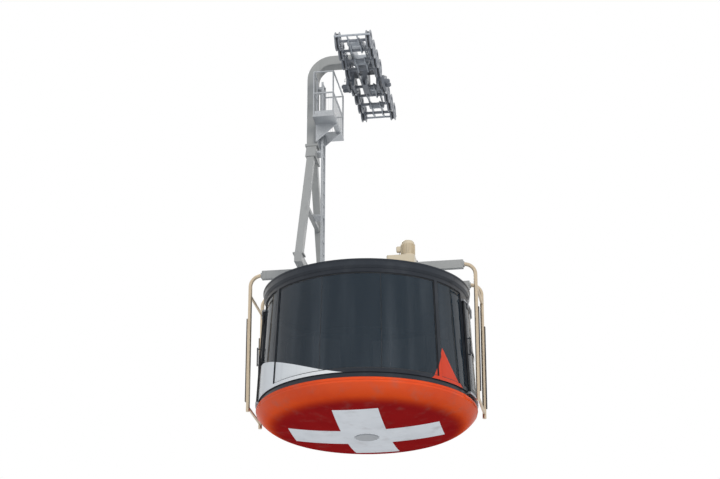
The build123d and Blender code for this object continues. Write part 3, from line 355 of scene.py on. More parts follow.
class Stock:
    """One piece being made: shapes are added to its mesh, then it is fitted to a body."""

    def __init__(self, name, body, finish, slot=None):
        self.name = name
        self.body = body
        self.finish = finish
        self.slot = slot
        self.mesh = bmesh.new()

    def skin(self, rows, wrap=True, caps=True):
        """Bridges rows of points, each row a ring or, without wrap, an open line."""
        made = [[self.mesh.verts.new(point) for point in row] for row in rows]
        count = len(rows[0])
        for lower, upper in zip(made, made[1:]):
            for k in range(count if wrap else count - 1):
                after = (k + 1) % count
                self.mesh.faces.new((lower[k], lower[after], upper[after], upper[k]))
        if caps:
            self.mesh.faces.new(list(reversed(made[0])))
            self.mesh.faces.new(made[-1])

    def turned(self, profile, place, sides=24):
        """A profile of (radius, height) turned about the local Z of a frame."""
        rows = []
        for radius, height in profile:
            ring = []
            for k in range(sides):
                angle = 2 * math.pi * k / sides
                ring.append(place @ Vector((radius * math.cos(angle), radius * math.sin(angle), height)))
            rows.append(ring)
        self.skin(rows)

    def hoop(self, profile, place, sides=48):
        """A closed profile of (radius, height) turned into a ring about the local Z of a frame."""
        rows = []
        for k in range(sides + 1):
            angle = 2 * math.pi * k / sides
            turn = Vector((math.cos(angle), math.sin(angle), 0))
            rows.append([place @ (turn * radius + Vector((0, 0, height))) for radius, height in profile])
        self.skin(rows, caps=False)

    def block(self, size, place, bevel=0.004):
        """A block with chamfered edges, centred on a frame."""
        half_x, half_y, half_z = (length / 2 for length in size)
        bevel = min(bevel, half_x * 0.6, half_y * 0.6, half_z * 0.6)

        def ring(inset, height):
            x, y = half_x - inset, half_y - inset
            outline = [(x - bevel, -y), (x, bevel - y), (x, y - bevel), (x - bevel, y),
                       (bevel - x, y), (-x, y - bevel), (-x, bevel - y), (bevel - x, -y)]
            return [place @ Vector((*point, height)) for point in outline]

        self.skin([ring(bevel * 0.5, -half_z), ring(0, bevel - half_z), ring(0, half_z - bevel),
                   ring(bevel * 0.5, half_z)])

    def bar(self, start, end, radius, sides=12):
        """A round bar with eased ends."""
        start, end = Vector(start), Vector(end)
        length = (end - start).length
        ease = min(radius * 0.25, length * 0.2)
        profile = [(radius - ease, 0), (radius, ease), (radius, length - ease), (radius - ease, length)]
        self.turned(profile, toward(start, end - start), sides)

    def pipe(self, corners, radius, bend, sides=12, steps=6):
        """Rigid steel pipe along straight runs, bent at each corner."""
        corners = [Vector(corner) for corner in corners]
        path = [corners[0]]
        for before, corner, after in zip(corners, corners[1:], corners[2:]):
            back, ahead = before - corner, after - corner
            reach = min(bend, back.length * 0.45, ahead.length * 0.45)
            start, end = corner + back.normalized() * reach, corner + ahead.normalized() * reach
            for k in range(steps + 1):
                t = k / steps
                path.append(start * (1 - t) ** 2 + corner * (2 * t * (1 - t)) + end * t * t)
        path.append(corners[-1])
        side = None
        rows = []
        for k, point in enumerate(path):
            way = (path[min(k + 1, len(path) - 1)] - path[max(k - 1, 0)]).normalized()
            side = (way.orthogonal() if side is None else side - way * side.dot(way)).normalized()
            other = way.cross(side)
            rows.append([point + radius * (side * math.cos(a) + other * math.sin(a))
                         for a in (2 * math.pi * n / sides for n in range(sides))])
        self.skin(rows)

    def bolt(self, point, direction, size=0.012):
        """A washer and a hexagon head."""
        place = toward(point, direction)
        self.turned([(size * 1.15, 0), (size * 1.15, size * 0.22)], place, 14)
        head = place @ at(0, 0, size * 0.22)
        self.turned([(size, 0), (size, size * 0.5), (size * 0.86, size * 0.62)], head, 6)

    def bolt_ring(self, place, count, radius, height, size, first_deg=0.0):
        """A ring of bolts about the local Z of a frame."""
        outward = place.col[2].to_3d()
        for k in range(count):
            spot = place @ spin(first_deg + 360 / count * k) @ Vector((radius, 0, height))
            self.bolt(spot, outward, size)

    def wall_run(self, low_deg, high_deg, z, out, profile, step_deg=1.5):
        """A closed profile of (outward, upward) run along the wall at a height."""
        count = max(2, math.ceil((high_deg - low_deg) / step_deg))
        rows = []
        for k in range(count + 1):
            degrees = low_deg + (high_deg - low_deg) * k / count
            rows.append([on_wall(degrees, z + up, out + outward) for outward, up in profile])
        self.skin(rows)

    def wall_rise(self, degrees, z_low, z_high, out, half_w, depth):
        """A square strip that climbs the leaning wall."""
        rows = []
        for z in (z_low, z_high):
            spread = math.degrees(half_w / wall_r(z))
            left, right = degrees - spread, degrees + spread
            rows.append([on_wall(left, z, out), on_wall(right, z, out),
                         on_wall(right, z, out + depth), on_wall(left, z, out + depth)])
        self.skin(rows)

    def fit(self, smooth_deg=35.0):
        """Makes the object, gives it its finish and lets it ride on its body."""
        bmesh.ops.recalc_face_normals(self.mesh, faces=self.mesh.faces)
        data = bpy.data.meshes.new(self.name)
        self.mesh.to_mesh(data)
        self.mesh.free()
        data.polygons.foreach_set("use_smooth", [True] * len(data.polygons))
        data.set_sharp_from_angle(angle=math.radians(smooth_deg))
        data.materials.append(self.finish.material)
        piece = bpy.data.objects.new(self.name, data)
        bpy.context.scene.collection.objects.link(piece)
        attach(piece, self.body)


black_rubber = rubber("black_rubber")
bolt_zinc = zinc("bolt_zinc", (0.50, 0.52, 0.54))
chequer = Finish("chequer_plate", (0.36, 0.37, 0.38), 0.4, metallic=0.8)
white_film = painted("white_film", (0.80, 0.80, 0.78), 0.34, 0.1, 0.05)
red_film = painted("red_film", (0.62, 0.048, 0.015), 0.34, 0.05, 0.03, 0.2)
lamp_glass = Finish("lamp_lens", (0.85, 0.87, 0.88), 0.2, coat=0.6)
screen_black = Finish("screen_black", (0.012, 0.013, 0.016), 0.12, coat=0.8)
button_red = painted("button_red", (0.62, 0.03, 0.02), 0.35)
button_green = painted("button_green", (0.03, 0.30, 0.08), 0.35)


def chequer_pattern(finish):
    """Raised lozenges in two directions, with worn tops."""
    pitch = 0.045
    half_length, half_width = 0.34, 0.12
    across = (finish.x + finish.y) * (math.sqrt(0.5) / pitch)
    along = (finish.x - finish.y) * (math.sqrt(0.5) / pitch)

    def off_middle(wire):
        return abs((wire % 2.0) - 1.0)

    bump_a = (off_middle(across) < half_length) * (off_middle(along) < half_width)
    bump_b = (off_middle(across + 1.0) < half_width) * (off_middle(along + 1.0) < half_length)
    raised = (bump_a + bump_b).capped()
    grime = finish.noise(5.0, 4.0).step(0.4, 0.8)
    ground_tone = finish.mix(grime * 0.5, (0.30, 0.31, 0.32), (0.16, 0.155, 0.15))
    finish.colour(finish.mix(raised * 0.5, ground_tone, (0.52, 0.53, 0.54)))
    finish.rough(0.46 + grime * 0.2 - raised * 0.12)
    finish.bump(raised, 0.0015)


chequer_pattern(chequer)
lens_dust = lamp_glass.noise(30.0, 3.0).step(0.4, 0.9)
lamp_glass.colour(lamp_glass.mix(lens_dust * 0.5, (0.88, 0.90, 0.91), (0.66, 0.67, 0.66)))
lamp_glass.rough(0.16 + lens_dust * 0.3)
screen_smears = screen_black.noise(12.0, 3.0).step(0.4, 0.9)
screen_black.rough(0.08 + screen_smears * 0.25)
screen_black.colour(screen_black.mix(screen_smears * 0.4, (0.012, 0.013, 0.016), (0.03, 0.032, 0.036)))

# Carriage: rubber liners, hub bolts, pin plates and brake pipes
wheel_x = 0.35
wheel_w = 0.104
axle_z = 0.205
hub_bolt_r = 0.061
hub_bolt_x = 0.036
rim_bolt_r = 0.163
liner_profile = [(0.1745, -0.030), (0.1925, -0.030), (0.1855, -0.022), (0.1812, -0.012), (0.1812, 0.012),
                 (0.1855, 0.022), (0.1925, 0.030), (0.1745, 0.030)]


def dress_wheels(number):
    """Rubber liners in the grooves, hub caps and bolts."""
    body = f"wheel_pair_{number}"
    low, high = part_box(body)
    centre_y = (low.y + high.y) / 2
    liners = Stock(f"wheel_liners_{number}", body, black_rubber)
    bolts = Stock(f"wheel_bolts_{number}", body, bolt_zinc)
    for side in (-1, 1):
        axis = toward((side * wheel_x, centre_y, axle_z), (side, 0, 0))
        liners.hoop(liner_profile, axis, 64)
        face = wheel_w / 2
        bolts.turned([(0.044, face - 0.002), (0.044, face + 0.0016), (0.040, face + 0.0018)], axis, 32)
        bolts.bolt_ring(axis, 6, hub_bolt_r, hub_bolt_x, 0.0075, 30)
        bolts.bolt_ring(axis, 10, rim_bolt_r, face - 0.001, 0.0055)
    liners.fit()
    bolts.fit()


for number in range(1, 9):
    dress_wheels(number)

bogie_pin_z = 0.267
rocker_pin_z = 0.395
pivot_z = 0.65
bogie_ys = (-1.64, -0.68, 0.68, 1.64)
rocker_ys = (-1.16, 1.16)
bogie_out_x, rocker_out_x, beam_out_x = 0.124, 0.168, 0.212
axle_ys = [side * (0.44 + 0.48 * k) for side in (-1, 1) for k in range(4)]


def pin_plate(stock, x, y, z, side, radius):
    """An end plate over a pin, held by bolts."""
    place = toward((x, y, z), (side, 0, 0))
    stock.turned([(radius, 0), (radius, 0.008), (radius - 0.003, 0.011)], place, 28)
    stock.bolt_ring(place, 4, radius * 0.68, 0.011, radius * 0.12, 45)
    stock.turned([(radius * 0.14, 0.011), (radius * 0.14, 0.018), (radius * 0.08, 0.022)], place, 8)


def dress_carriage():
    """Pin plates, bearing caps and bolts, and the pipes to the brakes."""
    plates = Stock("pin_plates", "carriage", finishes["shaft_steel"], "shaft_steel")
    bearings = Stock("axle_bearing_caps", "carriage", finishes["brake_steel"], "brake_steel")
    rows = Stock("carriage_bolts", "carriage", bolt_zinc)
    cap = [(0.036, 0), (0.056, 0), (0.056, 0.008), (0.052, 0.012), (0.036, 0.012)]
    cap_bolt_r, pivot_bolt_r = 0.046, 0.131
    web_bolt_ys = (-1.0, -0.75, -0.5, 0.5, 0.75, 1.0)
    brake_bolt_y, brake_bolt_zs = 0.13, (0.375, 0.415)
    for side in (-1, 1):
        for y in bogie_ys:
            pin_plate(plates, side * rocker_out_x, y, bogie_pin_z, side, 0.040)
        for y in rocker_ys:
            pin_plate(plates, side * beam_out_x, y, rocker_pin_z, side, 0.056)
        for y in axle_ys:
            place = toward((side * bogie_out_x, y, axle_z), (side, 0, 0))
            bearings.hoop(cap, place, 32)
            rows.bolt_ring(place, 4, cap_bolt_r, 0.012, 0.005, 45)
        place = toward((side * beam_out_x, 0, pivot_z), (side, 0, 0))
        if side > 0:
            bearings.hoop([(0.118, 0), (0.142, 0), (0.142, 0.003), (0.118, 0.003)], place, 48)
        rows.bolt_ring(place, 12, pivot_bolt_r, 0.0005, 0.006)
        for y in web_bolt_ys:
            rows.bolt((side * beam_out_x, y, rocker_pin_z - 0.02), (side, 0, 0), 0.010)
        for y in (-brake_bolt_y, brake_bolt_y):
            for z in brake_bolt_zs:
                rows.bolt((side * beam_out_x, y, z), (side, 0, 0), 0.011)
    plates.fit()
    bearings.fit()
    rows.fit()

    pipes = Stock("brake_pipes", "carriage", finishes["shaft_steel"], "shaft_steel")
    unions = Stock("brake_unions", "carriage", bolt_zinc)
    up = Vector((0, 0, 1))
    cylinder_x, cylinder_top_z = 0.49, 0.088
    housing_x, housing_top_z = 0.27, 0.394
    for side in (-1, 1):
        for y in (-0.095, 0.095):
            low = Vector((side * cylinder_x, y, cylinder_top_z))
            high = Vector((side * housing_x, y, housing_top_z))
            for seat in (low, high):
                unions.turned([(0.013, 0), (0.013, 0.018), (0.009, 0.022)], toward(seat, up), 6)
            bracket_x, turn_z, over_z = side * 0.346, 0.172, 0.45
            corners = [low + up * 0.02, (low.x, y, turn_z), (bracket_x, y, turn_z),
                       (bracket_x, y, over_z), (high.x, y, over_z), high + up * 0.02]
            pipes.pipe(corners, 0.0065, 0.03)
            for z in (0.22, 0.35):
                unions.block((0.024, 0.036, 0.014), at(side * 0.341, y, z), 0.003)
    pipes.fit(60)
    unions.fit()


dress_carriage()

# Hanger: flange and shoe bolts, conduit, platform plate and toe boards
hanger_x = -1.25
arm_t, arm_w = 0.23, 0.32
apex_z = -1.5
flange_t = 0.026
flange_out = 0.03
leg_foot_y = 1.5
leg_t, leg_w = 0.16, 0.2
shoe_margin = 0.04
shoe_t = 0.03
leg_head_y, leg_head_z = 0.13, -1.67
leg_foot_z = -4.71
frame_top_z = -4.74
platform_z = -1.0
platform_half_y = 0.7
tread_t = 0.003


def dress_hanger():
    """Flange, shoe and hub bolts, the shaft's end cap and the conduit down the leg."""
    rows = Stock("hanger_bolts", "hanger", bolt_zinc)
    flange_x, flange_y = arm_t / 2 + flange_out / 2, arm_w / 2 + flange_out / 2
    for side in (-1, 1):
        for k in range(5):
            y = (k - 2) * flange_y / 2
            rows.bolt((hanger_x + side * flange_x, y, apex_z + flange_t), (0, 0, 1), 0.0105)
            rows.bolt((hanger_x + side * flange_x, y, apex_z - flange_t), (0, 0, -1), 0.0105)
        for x in (-0.07, 0.0, 0.07):
            rows.bolt((hanger_x + x, side * flange_y, apex_z + flange_t), (0, 0, 1), 0.0105)
        shoe_spots = ((leg_t / 2 + shoe_margin / 2, leg_w / 2 - 0.02), (0.04, leg_w / 2 + shoe_margin / 2))
        for x_side in (-1, 1):
            for y_side in (-1, 1):
                for out_x, out_y in shoe_spots:
                    x, y = hanger_x + x_side * out_x, side * leg_foot_y + y_side * out_y
                    rows.bolt((x, y, frame_top_z + shoe_t), (0, 0, 1), 0.015)
    hub_ring = toward((0, 0, frame_top_z + 0.05), (0, 0, 1))
    outer_bolt_r, inner_bolt_r = 0.395, 0.185
    rows.bolt_ring(hub_ring, 24, outer_bolt_r, 0, 0.012)
    rows.bolt_ring(hub_ring, 8, inner_bolt_r, 0, 0.008, 22)
    rows.fit()

    shaft_cap = Stock("shaft_end_cap", "hanger", finishes["shaft_steel"], "shaft_steel")
    place = toward((0.252, 0, pivot_z), (1, 0, 0))
    shaft_cap.turned([(0.060, 0), (0.060, 0.004), (0.052, 0.0055)], place, 40)
    shaft_cap.bolt_ring(place, 6, 0.092, 0, 0.007)
    shaft_cap.fit()

    conduit = Stock("hanger_conduit", "hanger", finishes["ladder_zinc"], "ladder_zinc")
    clips = Stock("conduit_clips", "hanger", bolt_zinc)
    side_y = arm_w / 2 + 0.022
    leg_slope = (leg_foot_y - leg_head_y) / (leg_head_z - leg_foot_z)
    out_y = leg_w / 2 + 0.024

    def beside_leg(z):
        return leg_head_y + leg_slope * (leg_head_z - z) + out_y

    start_z, bend_z, leg_top_z, leg_end_z = 0.12, -1.38, -1.9, -4.55
    for offset in (-0.045, 0.0):
        line_x = hanger_x + offset
        route = [(line_x, side_y, start_z), (line_x, side_y, bend_z), (line_x, side_y + 0.06, apex_z)]
        route += [(line_x, beside_leg(z), z) for z in (leg_top_z, leg_end_z)]
        conduit.pipe(route, 0.0135, 0.09)
    clip_x = hanger_x - 0.022
    column_clip_zs, leg_clip_zs = (0.0, -0.45, -0.9, -1.3), (-2.1, -2.7, -3.3, -3.9, -4.4)
    for z in column_clip_zs:
        clips.block((0.13, 0.042, 0.03), at(clip_x, side_y - 0.004, z), 0.004)
    lean = Matrix.Rotation(math.atan(leg_slope), 4, "X")
    for z in leg_clip_zs:
        place = at(clip_x, beside_leg(z) - 0.004, z) @ lean
        clips.block((0.13, 0.05, 0.03), place, 0.004)
    place = at(hanger_x - 0.02, beside_leg(-4.58) + 0.012, -4.58) @ lean
    conduit.block((0.16, 0.08, 0.14), place, 0.008)
    conduit.fit(50)
    clips.fit()


dress_hanger()


def dress_platform():
    """Chequer plate round the ladder's hatch, toe boards and the guard's close bars."""
    floor_low, floor_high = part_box("work_platform")
    tread = Stock("platform_tread", "hanger", chequer)
    edge = 0.012
    hatch_x0, hatch_x1, hatch_y = -1.055, -0.755, 0.25
    spans = (
        (floor_low.x + edge, floor_high.x - edge, hatch_y + edge, platform_half_y - edge),
        (floor_low.x + edge, floor_high.x - edge, edge - platform_half_y, -hatch_y - edge),
        (floor_low.x + edge, hatch_x0 - edge, -hatch_y, hatch_y),
        (hatch_x1 + edge, floor_high.x - edge, -hatch_y, hatch_y),
    )
    for x0, x1, y0, y1 in spans:
        place = at((x0 + x1) / 2, (y0 + y1) / 2, platform_z + tread_t / 2)
        tread.block((x1 - x0, y1 - y0, tread_t), place, 0.001)
    tread.fit()
    kick = Stock("platform_toe_boards", "hanger", finishes["ladder_zinc"], "ladder_zinc")
    guard_x0, guard_x1, guard_y = -1.111, -0.664, 0.676
    board_t, board_h, board_z = 0.005, 0.1, platform_z + 0.06
    for side in (-1, 1):
        place = at((guard_x0 + guard_x1) / 2, side * guard_y, board_z)
        kick.block((guard_x1 - guard_x0 - 0.04, board_t, board_h), place, 0.002)
    kick.block((board_t, 2 * guard_y - 0.04, board_h), at(guard_x1, 0, board_z), 0.002)
    bar_r = 0.003
    bar_top, bar_low = platform_z + 0.54, platform_z + 0.12
    for k in range(1, 26):
        y = -guard_y + 2 * guard_y * k / 26
        kick.bar((guard_x1, y, bar_low), (guard_x1, y, bar_top), bar_r, 6)
    for side in (-1, 1):
        for k in range(1, 9):
            x = guard_x0 + (guard_x1 - guard_x0) * k / 9
            kick.bar((x, side * guard_y, bar_low), (x, side * guard_y, bar_top), bar_r, 6)
    kick.fit()


dress_platform()


def dress_deck():
    """Chequer plate, gearmotor, cabinet and conduits over the roof."""
    deck_high_x, deck_y = 1.29, 0.60
    tread_z = frame_top_z + tread_t / 2
    low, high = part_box("slewing_drive")
    box_low, box_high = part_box("equipment_cabinet")
    tread = Stock("deck_tread", "hanger", chequer)
    place = at((deck_high_x + box_high.x) / 2, 0, tread_z)
    tread.block((deck_high_x - box_high.x - 0.02, 2 * deck_y - 0.02, tread_t), place, 0.001)
    place = at((box_low.x + box_high.x) / 2, (box_low.y + high.y) / 2, tread_z)
    tread.block((box_high.x - box_low.x, box_low.y - high.y - 0.02, tread_t), place, 0.001)
    tread.fit()

    motor = Stock("drive_fittings", "hanger", finishes["drive_housing"], "drive_housing")
    motor_r, motor_h = 0.14, 0.38
    drive_h = 0.24
    motor_in = 0.168
    centre = Vector((high.x - motor_in, (low.y + high.y) / 2, frame_top_z + drive_h))
    terminal_x = centre.x - motor_r - 0.05
    fin_count = 28
    for k in range(fin_count):
        fin = at(*centre) @ spin(360 / fin_count * k) @ at(motor_r + 0.009, 0, motor_h * 0.5 - 0.01)
        motor.block((0.024, 0.005, motor_h * 0.62), fin, 0.001)
    flange_in_r, flange_out_r, flange_h = motor_r - 0.002, motor_r + 0.026, 0.022
    flange = [(flange_in_r, 0.0), (flange_out_r, 0.0), (flange_out_r, flange_h), (flange_in_r, flange_h)]
    motor.hoop(flange, at(*centre), 40)
    motor.block((0.13, 0.1, 0.12), at(terminal_x, centre.y, centre.z + 0.2), 0.012)
    lid = at((low.x + high.x) / 2, (low.y + high.y) / 2, frame_top_z + drive_h + 0.004)
    motor.block((high.x - low.x - 0.06, high.y - low.y - 0.06, 0.012), lid, 0.004)
    motor.fit()
    fixings = Stock("deck_fixings", "hanger", bolt_zinc)
    for x in (low.x + 0.05, (low.x + high.x) / 2, high.x - 0.05):
        seat_z = frame_top_z + drive_h + (0.01 if abs(x - centre.x) > 0.12 else 0.0)
        for y in (low.y + 0.05, high.y - 0.05):
            fixings.bolt((x, y, seat_z), (0, 0, 1), 0.01)
    fixings.bolt_ring(at(*centre), 6, motor_r + 0.014, flange_h, 0.007)
    for y in (-0.42, 0.42):
        for x in (1.22, 0.46):
            fixings.bolt((x, y, frame_top_z + tread_t), (0, 0, 1), 0.008)
    fixings.fit()

    doors = Stock("cabinet_doors", "hanger", finishes["cabinet_paint"], "cabinet_paint")
    hinges = Stock("cabinet_hinges", "hanger", bolt_zinc)
    mid_x = (box_low.x + box_high.x) / 2
    width = (box_high.x - box_low.x) / 2 - 0.03
    door_z = frame_top_z + 0.135
    for side in (-1, 1):
        leaf = at(mid_x + side * (width / 2 + 0.006), box_low.y - 0.004, door_z)
        doors.block((width, 0.012, 0.22), leaf, 0.004)
        hinges.block((0.014, 0.02, 0.09), at(mid_x + side * 0.035, box_low.y - 0.018, door_z), 0.004)
        for z in (0.06, 0.21):
            spot = Vector((mid_x + side * (width + 0.004), box_low.y - 0.012, frame_top_z + z))
            hinges.bar(spot, spot + Vector((0, 0, 0.04)), 0.007, 10)
    louvre_y = (box_low.y + box_high.y) / 2
    for k in range(6):
        louvre = at(box_high.x + 0.002, louvre_y, frame_top_z + 0.1 + 0.02 * k)
        doors.block((0.008, 0.22, 0.008), louvre, 0.002)
    doors.fit()
    hinges.fit()

    tray = Stock("cable_tray", "hanger", finishes["ladder_zinc"], "ladder_zinc")
    tray_y = box_high.y - 0.16
    tray.block((0.2, 0.1, 0.03), at(box_low.x - 0.1, tray_y, frame_top_z + 0.1), 0.003)
    tray.fit()
    runs = Stock("deck_conduits", "hanger", finishes["ladder_zinc"], "ladder_zinc")
    run_z = frame_top_z + 0.126
    turn_x, hub_x = 0.27, 0.146
    for k in (-1, 0, 1):
        x, y, end_y = turn_x - 0.032 * k, tray_y + 0.03 * k, 0.04 * k
        corners = [(box_low.x + 0.002, y, run_z), (x, y, run_z), (x, end_y, run_z), (hub_x, end_y, run_z)]
        runs.pipe(corners, 0.010, 0.05)
    motor_run_z = centre.z + 0.037
    runs.pipe([(terminal_x, centre.y, centre.z + 0.142), (terminal_x, centre.y, motor_run_z),
               (terminal_x, box_low.y + 0.002, motor_run_z)], 0.009, 0.04)
    runs.fit(60)


dress_deck()


def dress_guides():
    """Countersunk screws along the rubbing strips and flange collars at the roots."""
    strip_face_x, root_x, root_z = 2.5655, 2.24, -4.835
    guide_y, first_screw, screw_pitch = 0.66, 0.1, 0.2
    for side, name in ((-1, "left"), (1, "right")):
        screws = Stock(f"guide_screws_{name}", "hanger", bolt_zinc)
        collars = Stock(f"guide_collars_{name}", "hanger", finishes["hanger_paint"], "hanger_paint")
        for y in (-guide_y, guide_y):
            for k in range(9):
                z = wall_low.z + first_screw + screw_pitch * k
                place = toward((side * strip_face_x, y, z), (side, 0, 0))
                screws.turned([(0.011, 0), (0.0105, 0.0004), (0.004, 0.0005)], place, 14)
            root = toward((side * root_x, y, root_z), (side, 0, 0))
            collars.turned([(0.066, -0.02), (0.07, -0.016), (0.07, 0.018), (0.066, 0.022)], root, 32)
            screws.bolt_ring(root, 4, 0.056, 0.022, 0.007, 45)
        screws.fit()
        collars.fit()


dress_guides()

# Cabin: gaskets, films, doors, roof, ceiling and console
glass_low_z = wall_low.z + foot_ring_h
glass_high_z = wall_high.z - head_ring_h
corner_low = door_half_deg + jamb_deg
corner_high = post_deg - 10.0 - post_half_deg
front_half = post_deg - post_half_deg
pane_spans = [(-90 - front_half, -90 + front_half), (90 - front_half, 90 + front_half)]
for middle in (0, 180):
    pane_spans.append((middle + corner_low, middle + corner_high))
    pane_spans.append((middle - corner_high, middle - corner_low))
butt_joints = (-106.5, -73.5, 73.5, 106.5)
gasket_w = 0.022
gasket_h = 0.009
wall_mid_z = -6.5


def gasket(stock, low, high, z_low, z_high, out, depth):
    """A rubber strip round a pane, on one face of the leaning wall."""
    strip = [(0, 0), (0, gasket_w), (depth * 0.6, gasket_w), (depth, gasket_w * 0.6), (depth, 0)]
    stock.wall_run(low, high, z_low, out, strip)
    stock.wall_run(low, high, z_high - gasket_w, out, [(outward, gasket_w - up) for outward, up in strip])
    inset = math.degrees(gasket_w / 2 / wall_r(wall_mid_z))
    for degrees in (low + inset, high - inset):
        stock.wall_rise(degrees, z_low, z_high, out, gasket_w / 2, depth)


def dress_windows():
    """Gaskets round the panes on both faces, and the butt joints of the front and rear glass."""
    outer = Stock("window_gaskets", "cabin", black_rubber)
    inner = Stock("window_gaskets_inside", "cabin", black_rubber)
    for stock, out, depth in ((outer, -pane_inset, gasket_h), (inner, -pane_inset - pane_t, -gasket_h)):
        for low, high in pane_spans:
            gasket(stock, low, high, glass_low_z, glass_high_z, out, depth)
        for degrees in butt_joints:
            stock.wall_rise(degrees, glass_low_z, glass_high_z, out, 0.005, math.copysign(0.0015, depth))
    outer.fit()
    inner.fit()


dress_windows()


def film(name, finish, start, end, top_at):
    """A stripe of film laid on the panes, posts and foot ring, up to a height at each angle."""
    stock = Stock(name, "cabin", finish)
    proud = 0.0012
    columns_a_degree, steps_up = 2.5, 6
    breaks = sorted({start, end, *[edge for span in pane_spans for edge in span if start < edge < end]})
    for low, high in zip(breaks, breaks[1:]):
        middle = (low + high) / 2
        on_pane = any(a < middle < b for a, b in pane_spans)
        count = max(2, math.ceil((high - low) * columns_a_degree))
        columns = [low + (high - low) * k / count for k in range(count + 1)]
        pane_out = proud - pane_inset if on_pane else proud
        for base, limit, out in ((0.004, foot_ring_h, proud), (foot_ring_h, math.inf, pane_out)):
            rows = []
            for degrees in columns:
                top = max(base + 0.0005, min(top_at(degrees), limit))
                heights = [wall_low.z + base + (top - base) * k / steps_up for k in range(steps_up + 1)]
                rows.append([on_wall(degrees, z, out) for z in heights])
            stock.skin(rows, wrap=False, caps=False)
    stock.fit()


white_start, white_end = -164.2, -92.0
red_start, red_peak, red_end = -46.5, -37.2, -20.8


def white_edge(degrees):
    """Broad by the left door, sweeping down to nothing at the middle of the front."""
    share = min(1.0, (degrees - white_start) / (white_end - white_start))
    return 0.80 * (1 - share) ** 1.5 * (1 + 1.1 * share)


def red_edge(degrees):
    """A tall point beside the right front post, with a steep left flank and a longer right one."""
    height = 0.76
    if degrees < red_peak:
        return height * max(0.0, (degrees - red_start) / (red_peak - red_start)) ** 1.7
    return height * max(0.0, 1 - (degrees - red_peak) / (red_end - red_peak)) ** 1.35


film("white_stripe", white_film, white_start, white_end, white_edge)
film("red_stripe", red_film, red_start, red_end, red_edge)


def dress_doors():
    """Gaskets, the seal on the closing edge, and the hangers with their rollers."""
    door_low, door_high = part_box("door_right")
    split_z = wall_low.z + 1.03
    mid_rail_half = 0.028
    leaf_r, hanger_r, hanger_deg = 2.295, 2.28, 8.5
    leaf_half = door_half_deg + door_lap_deg
    rim_deg = math.degrees(door_rim / leaf_r)
    panes = ((door_low.z + door_rim, split_z - mid_rail_half),
             (split_z + mid_rail_half, door_high.z - door_rim))
    for body, middle, way in (("door_right", 0, 1), ("door_left", 180, -1)):
        seals = Stock(f"{body}_gaskets", body, black_rubber)
        low, high = middle - leaf_half + rim_deg, middle + leaf_half - rim_deg
        glass_out = door_out - 0.012
        for out, depth in ((glass_out, gasket_h), (glass_out - pane_t, -gasket_h)):
            for pane_low_z, pane_high_z in panes:
                gasket(seals, low, high, pane_low_z, pane_high_z, out, depth)
        lead = middle - way * (leaf_half + 0.12)
        seals.wall_rise(lead, door_low.z + 0.01, door_high.z - 0.01, door_out - 0.032, 0.005, 0.024)
        seals.fit()

        hangers = Stock(f"{body}_hangers", body, finishes["track_alloy"], "track_alloy")
        rollers = Stock(f"{body}_rollers", body, black_rubber)
        for degrees in (middle - hanger_deg, middle + hanger_deg):
            outward = around(1, degrees, 0)
            plate = at(*on_wall(degrees, door_high.z + 0.02, door_out + 0.021)) @ spin(degrees)
            hangers.block((0.007, 0.07, 0.20), plate, 0.002)
            foot = at(*on_wall(degrees, door_high.z - 0.05, door_out + 0.009)) @ spin(degrees)
            hangers.block((0.018, 0.07, 0.05), foot, 0.002)
            for drop in (0.065, 0.035):
                for shift in (-0.02, 0.02):
                    beside = degrees + math.degrees(shift / hanger_r)
                    spot = on_wall(beside, door_high.z - drop, door_out + 0.0245)
                    hangers.bolt(spot, outward, 0.006)
            hub = on_wall(degrees, door_high.z + 0.0736, 0.022)
            tyre = [(0.020, 0), (0.024, 0.004), (0.024, 0.022), (0.020, 0.026)]
            rollers.turned(tyre, toward(hub, outward), 24)
            hangers.bar(hub - outward * 0.004, hub + outward * 0.056, 0.007, 12)
        hangers.fit()
        rollers.fit()


dress_doors()


def dress_roof():
    """The hatch's pull and hinges, and the seal round its trunk."""
    hatch_low, hatch_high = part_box("roof_hatch")
    centre = (hatch_low + hatch_high) / 2
    lid = Stock("hatch_fittings", "roof_hatch", bolt_zinc)
    top = hatch_high.z
    grip_x = centre.x + 0.16
    lid.pipe([(grip_x, -0.07, top - 0.002), (grip_x, -0.07, top + 0.04), (grip_x, 0.07, top + 0.04),
              (grip_x, 0.07, top - 0.002)], 0.007, 0.02)
    hinge_x, hinge_z = hatch_low.x + 0.004, top + 0.006
    for y in (-0.12, 0.12):
        lid.block((0.07, 0.045, 0.008), at(hatch_low.x + 0.055, y, top + 0.003), 0.002)
        lid.bar((hinge_x, y - 0.03, hinge_z), (hinge_x, y + 0.03, hinge_z), 0.008, 12)
    lid.fit()
    seal = Stock("hatch_seal", "cabin", black_rubber)
    in_r, out_r, half_h = 0.2925, 0.2985, 0.01
    band = [(in_r, -half_h), (out_r, -half_h), (out_r, half_h), (in_r, half_h)]
    seal.hoop(band, at(centre.x, 0, hatch_low.z - 0.012), 56)
    seal.fit()


dress_roof()


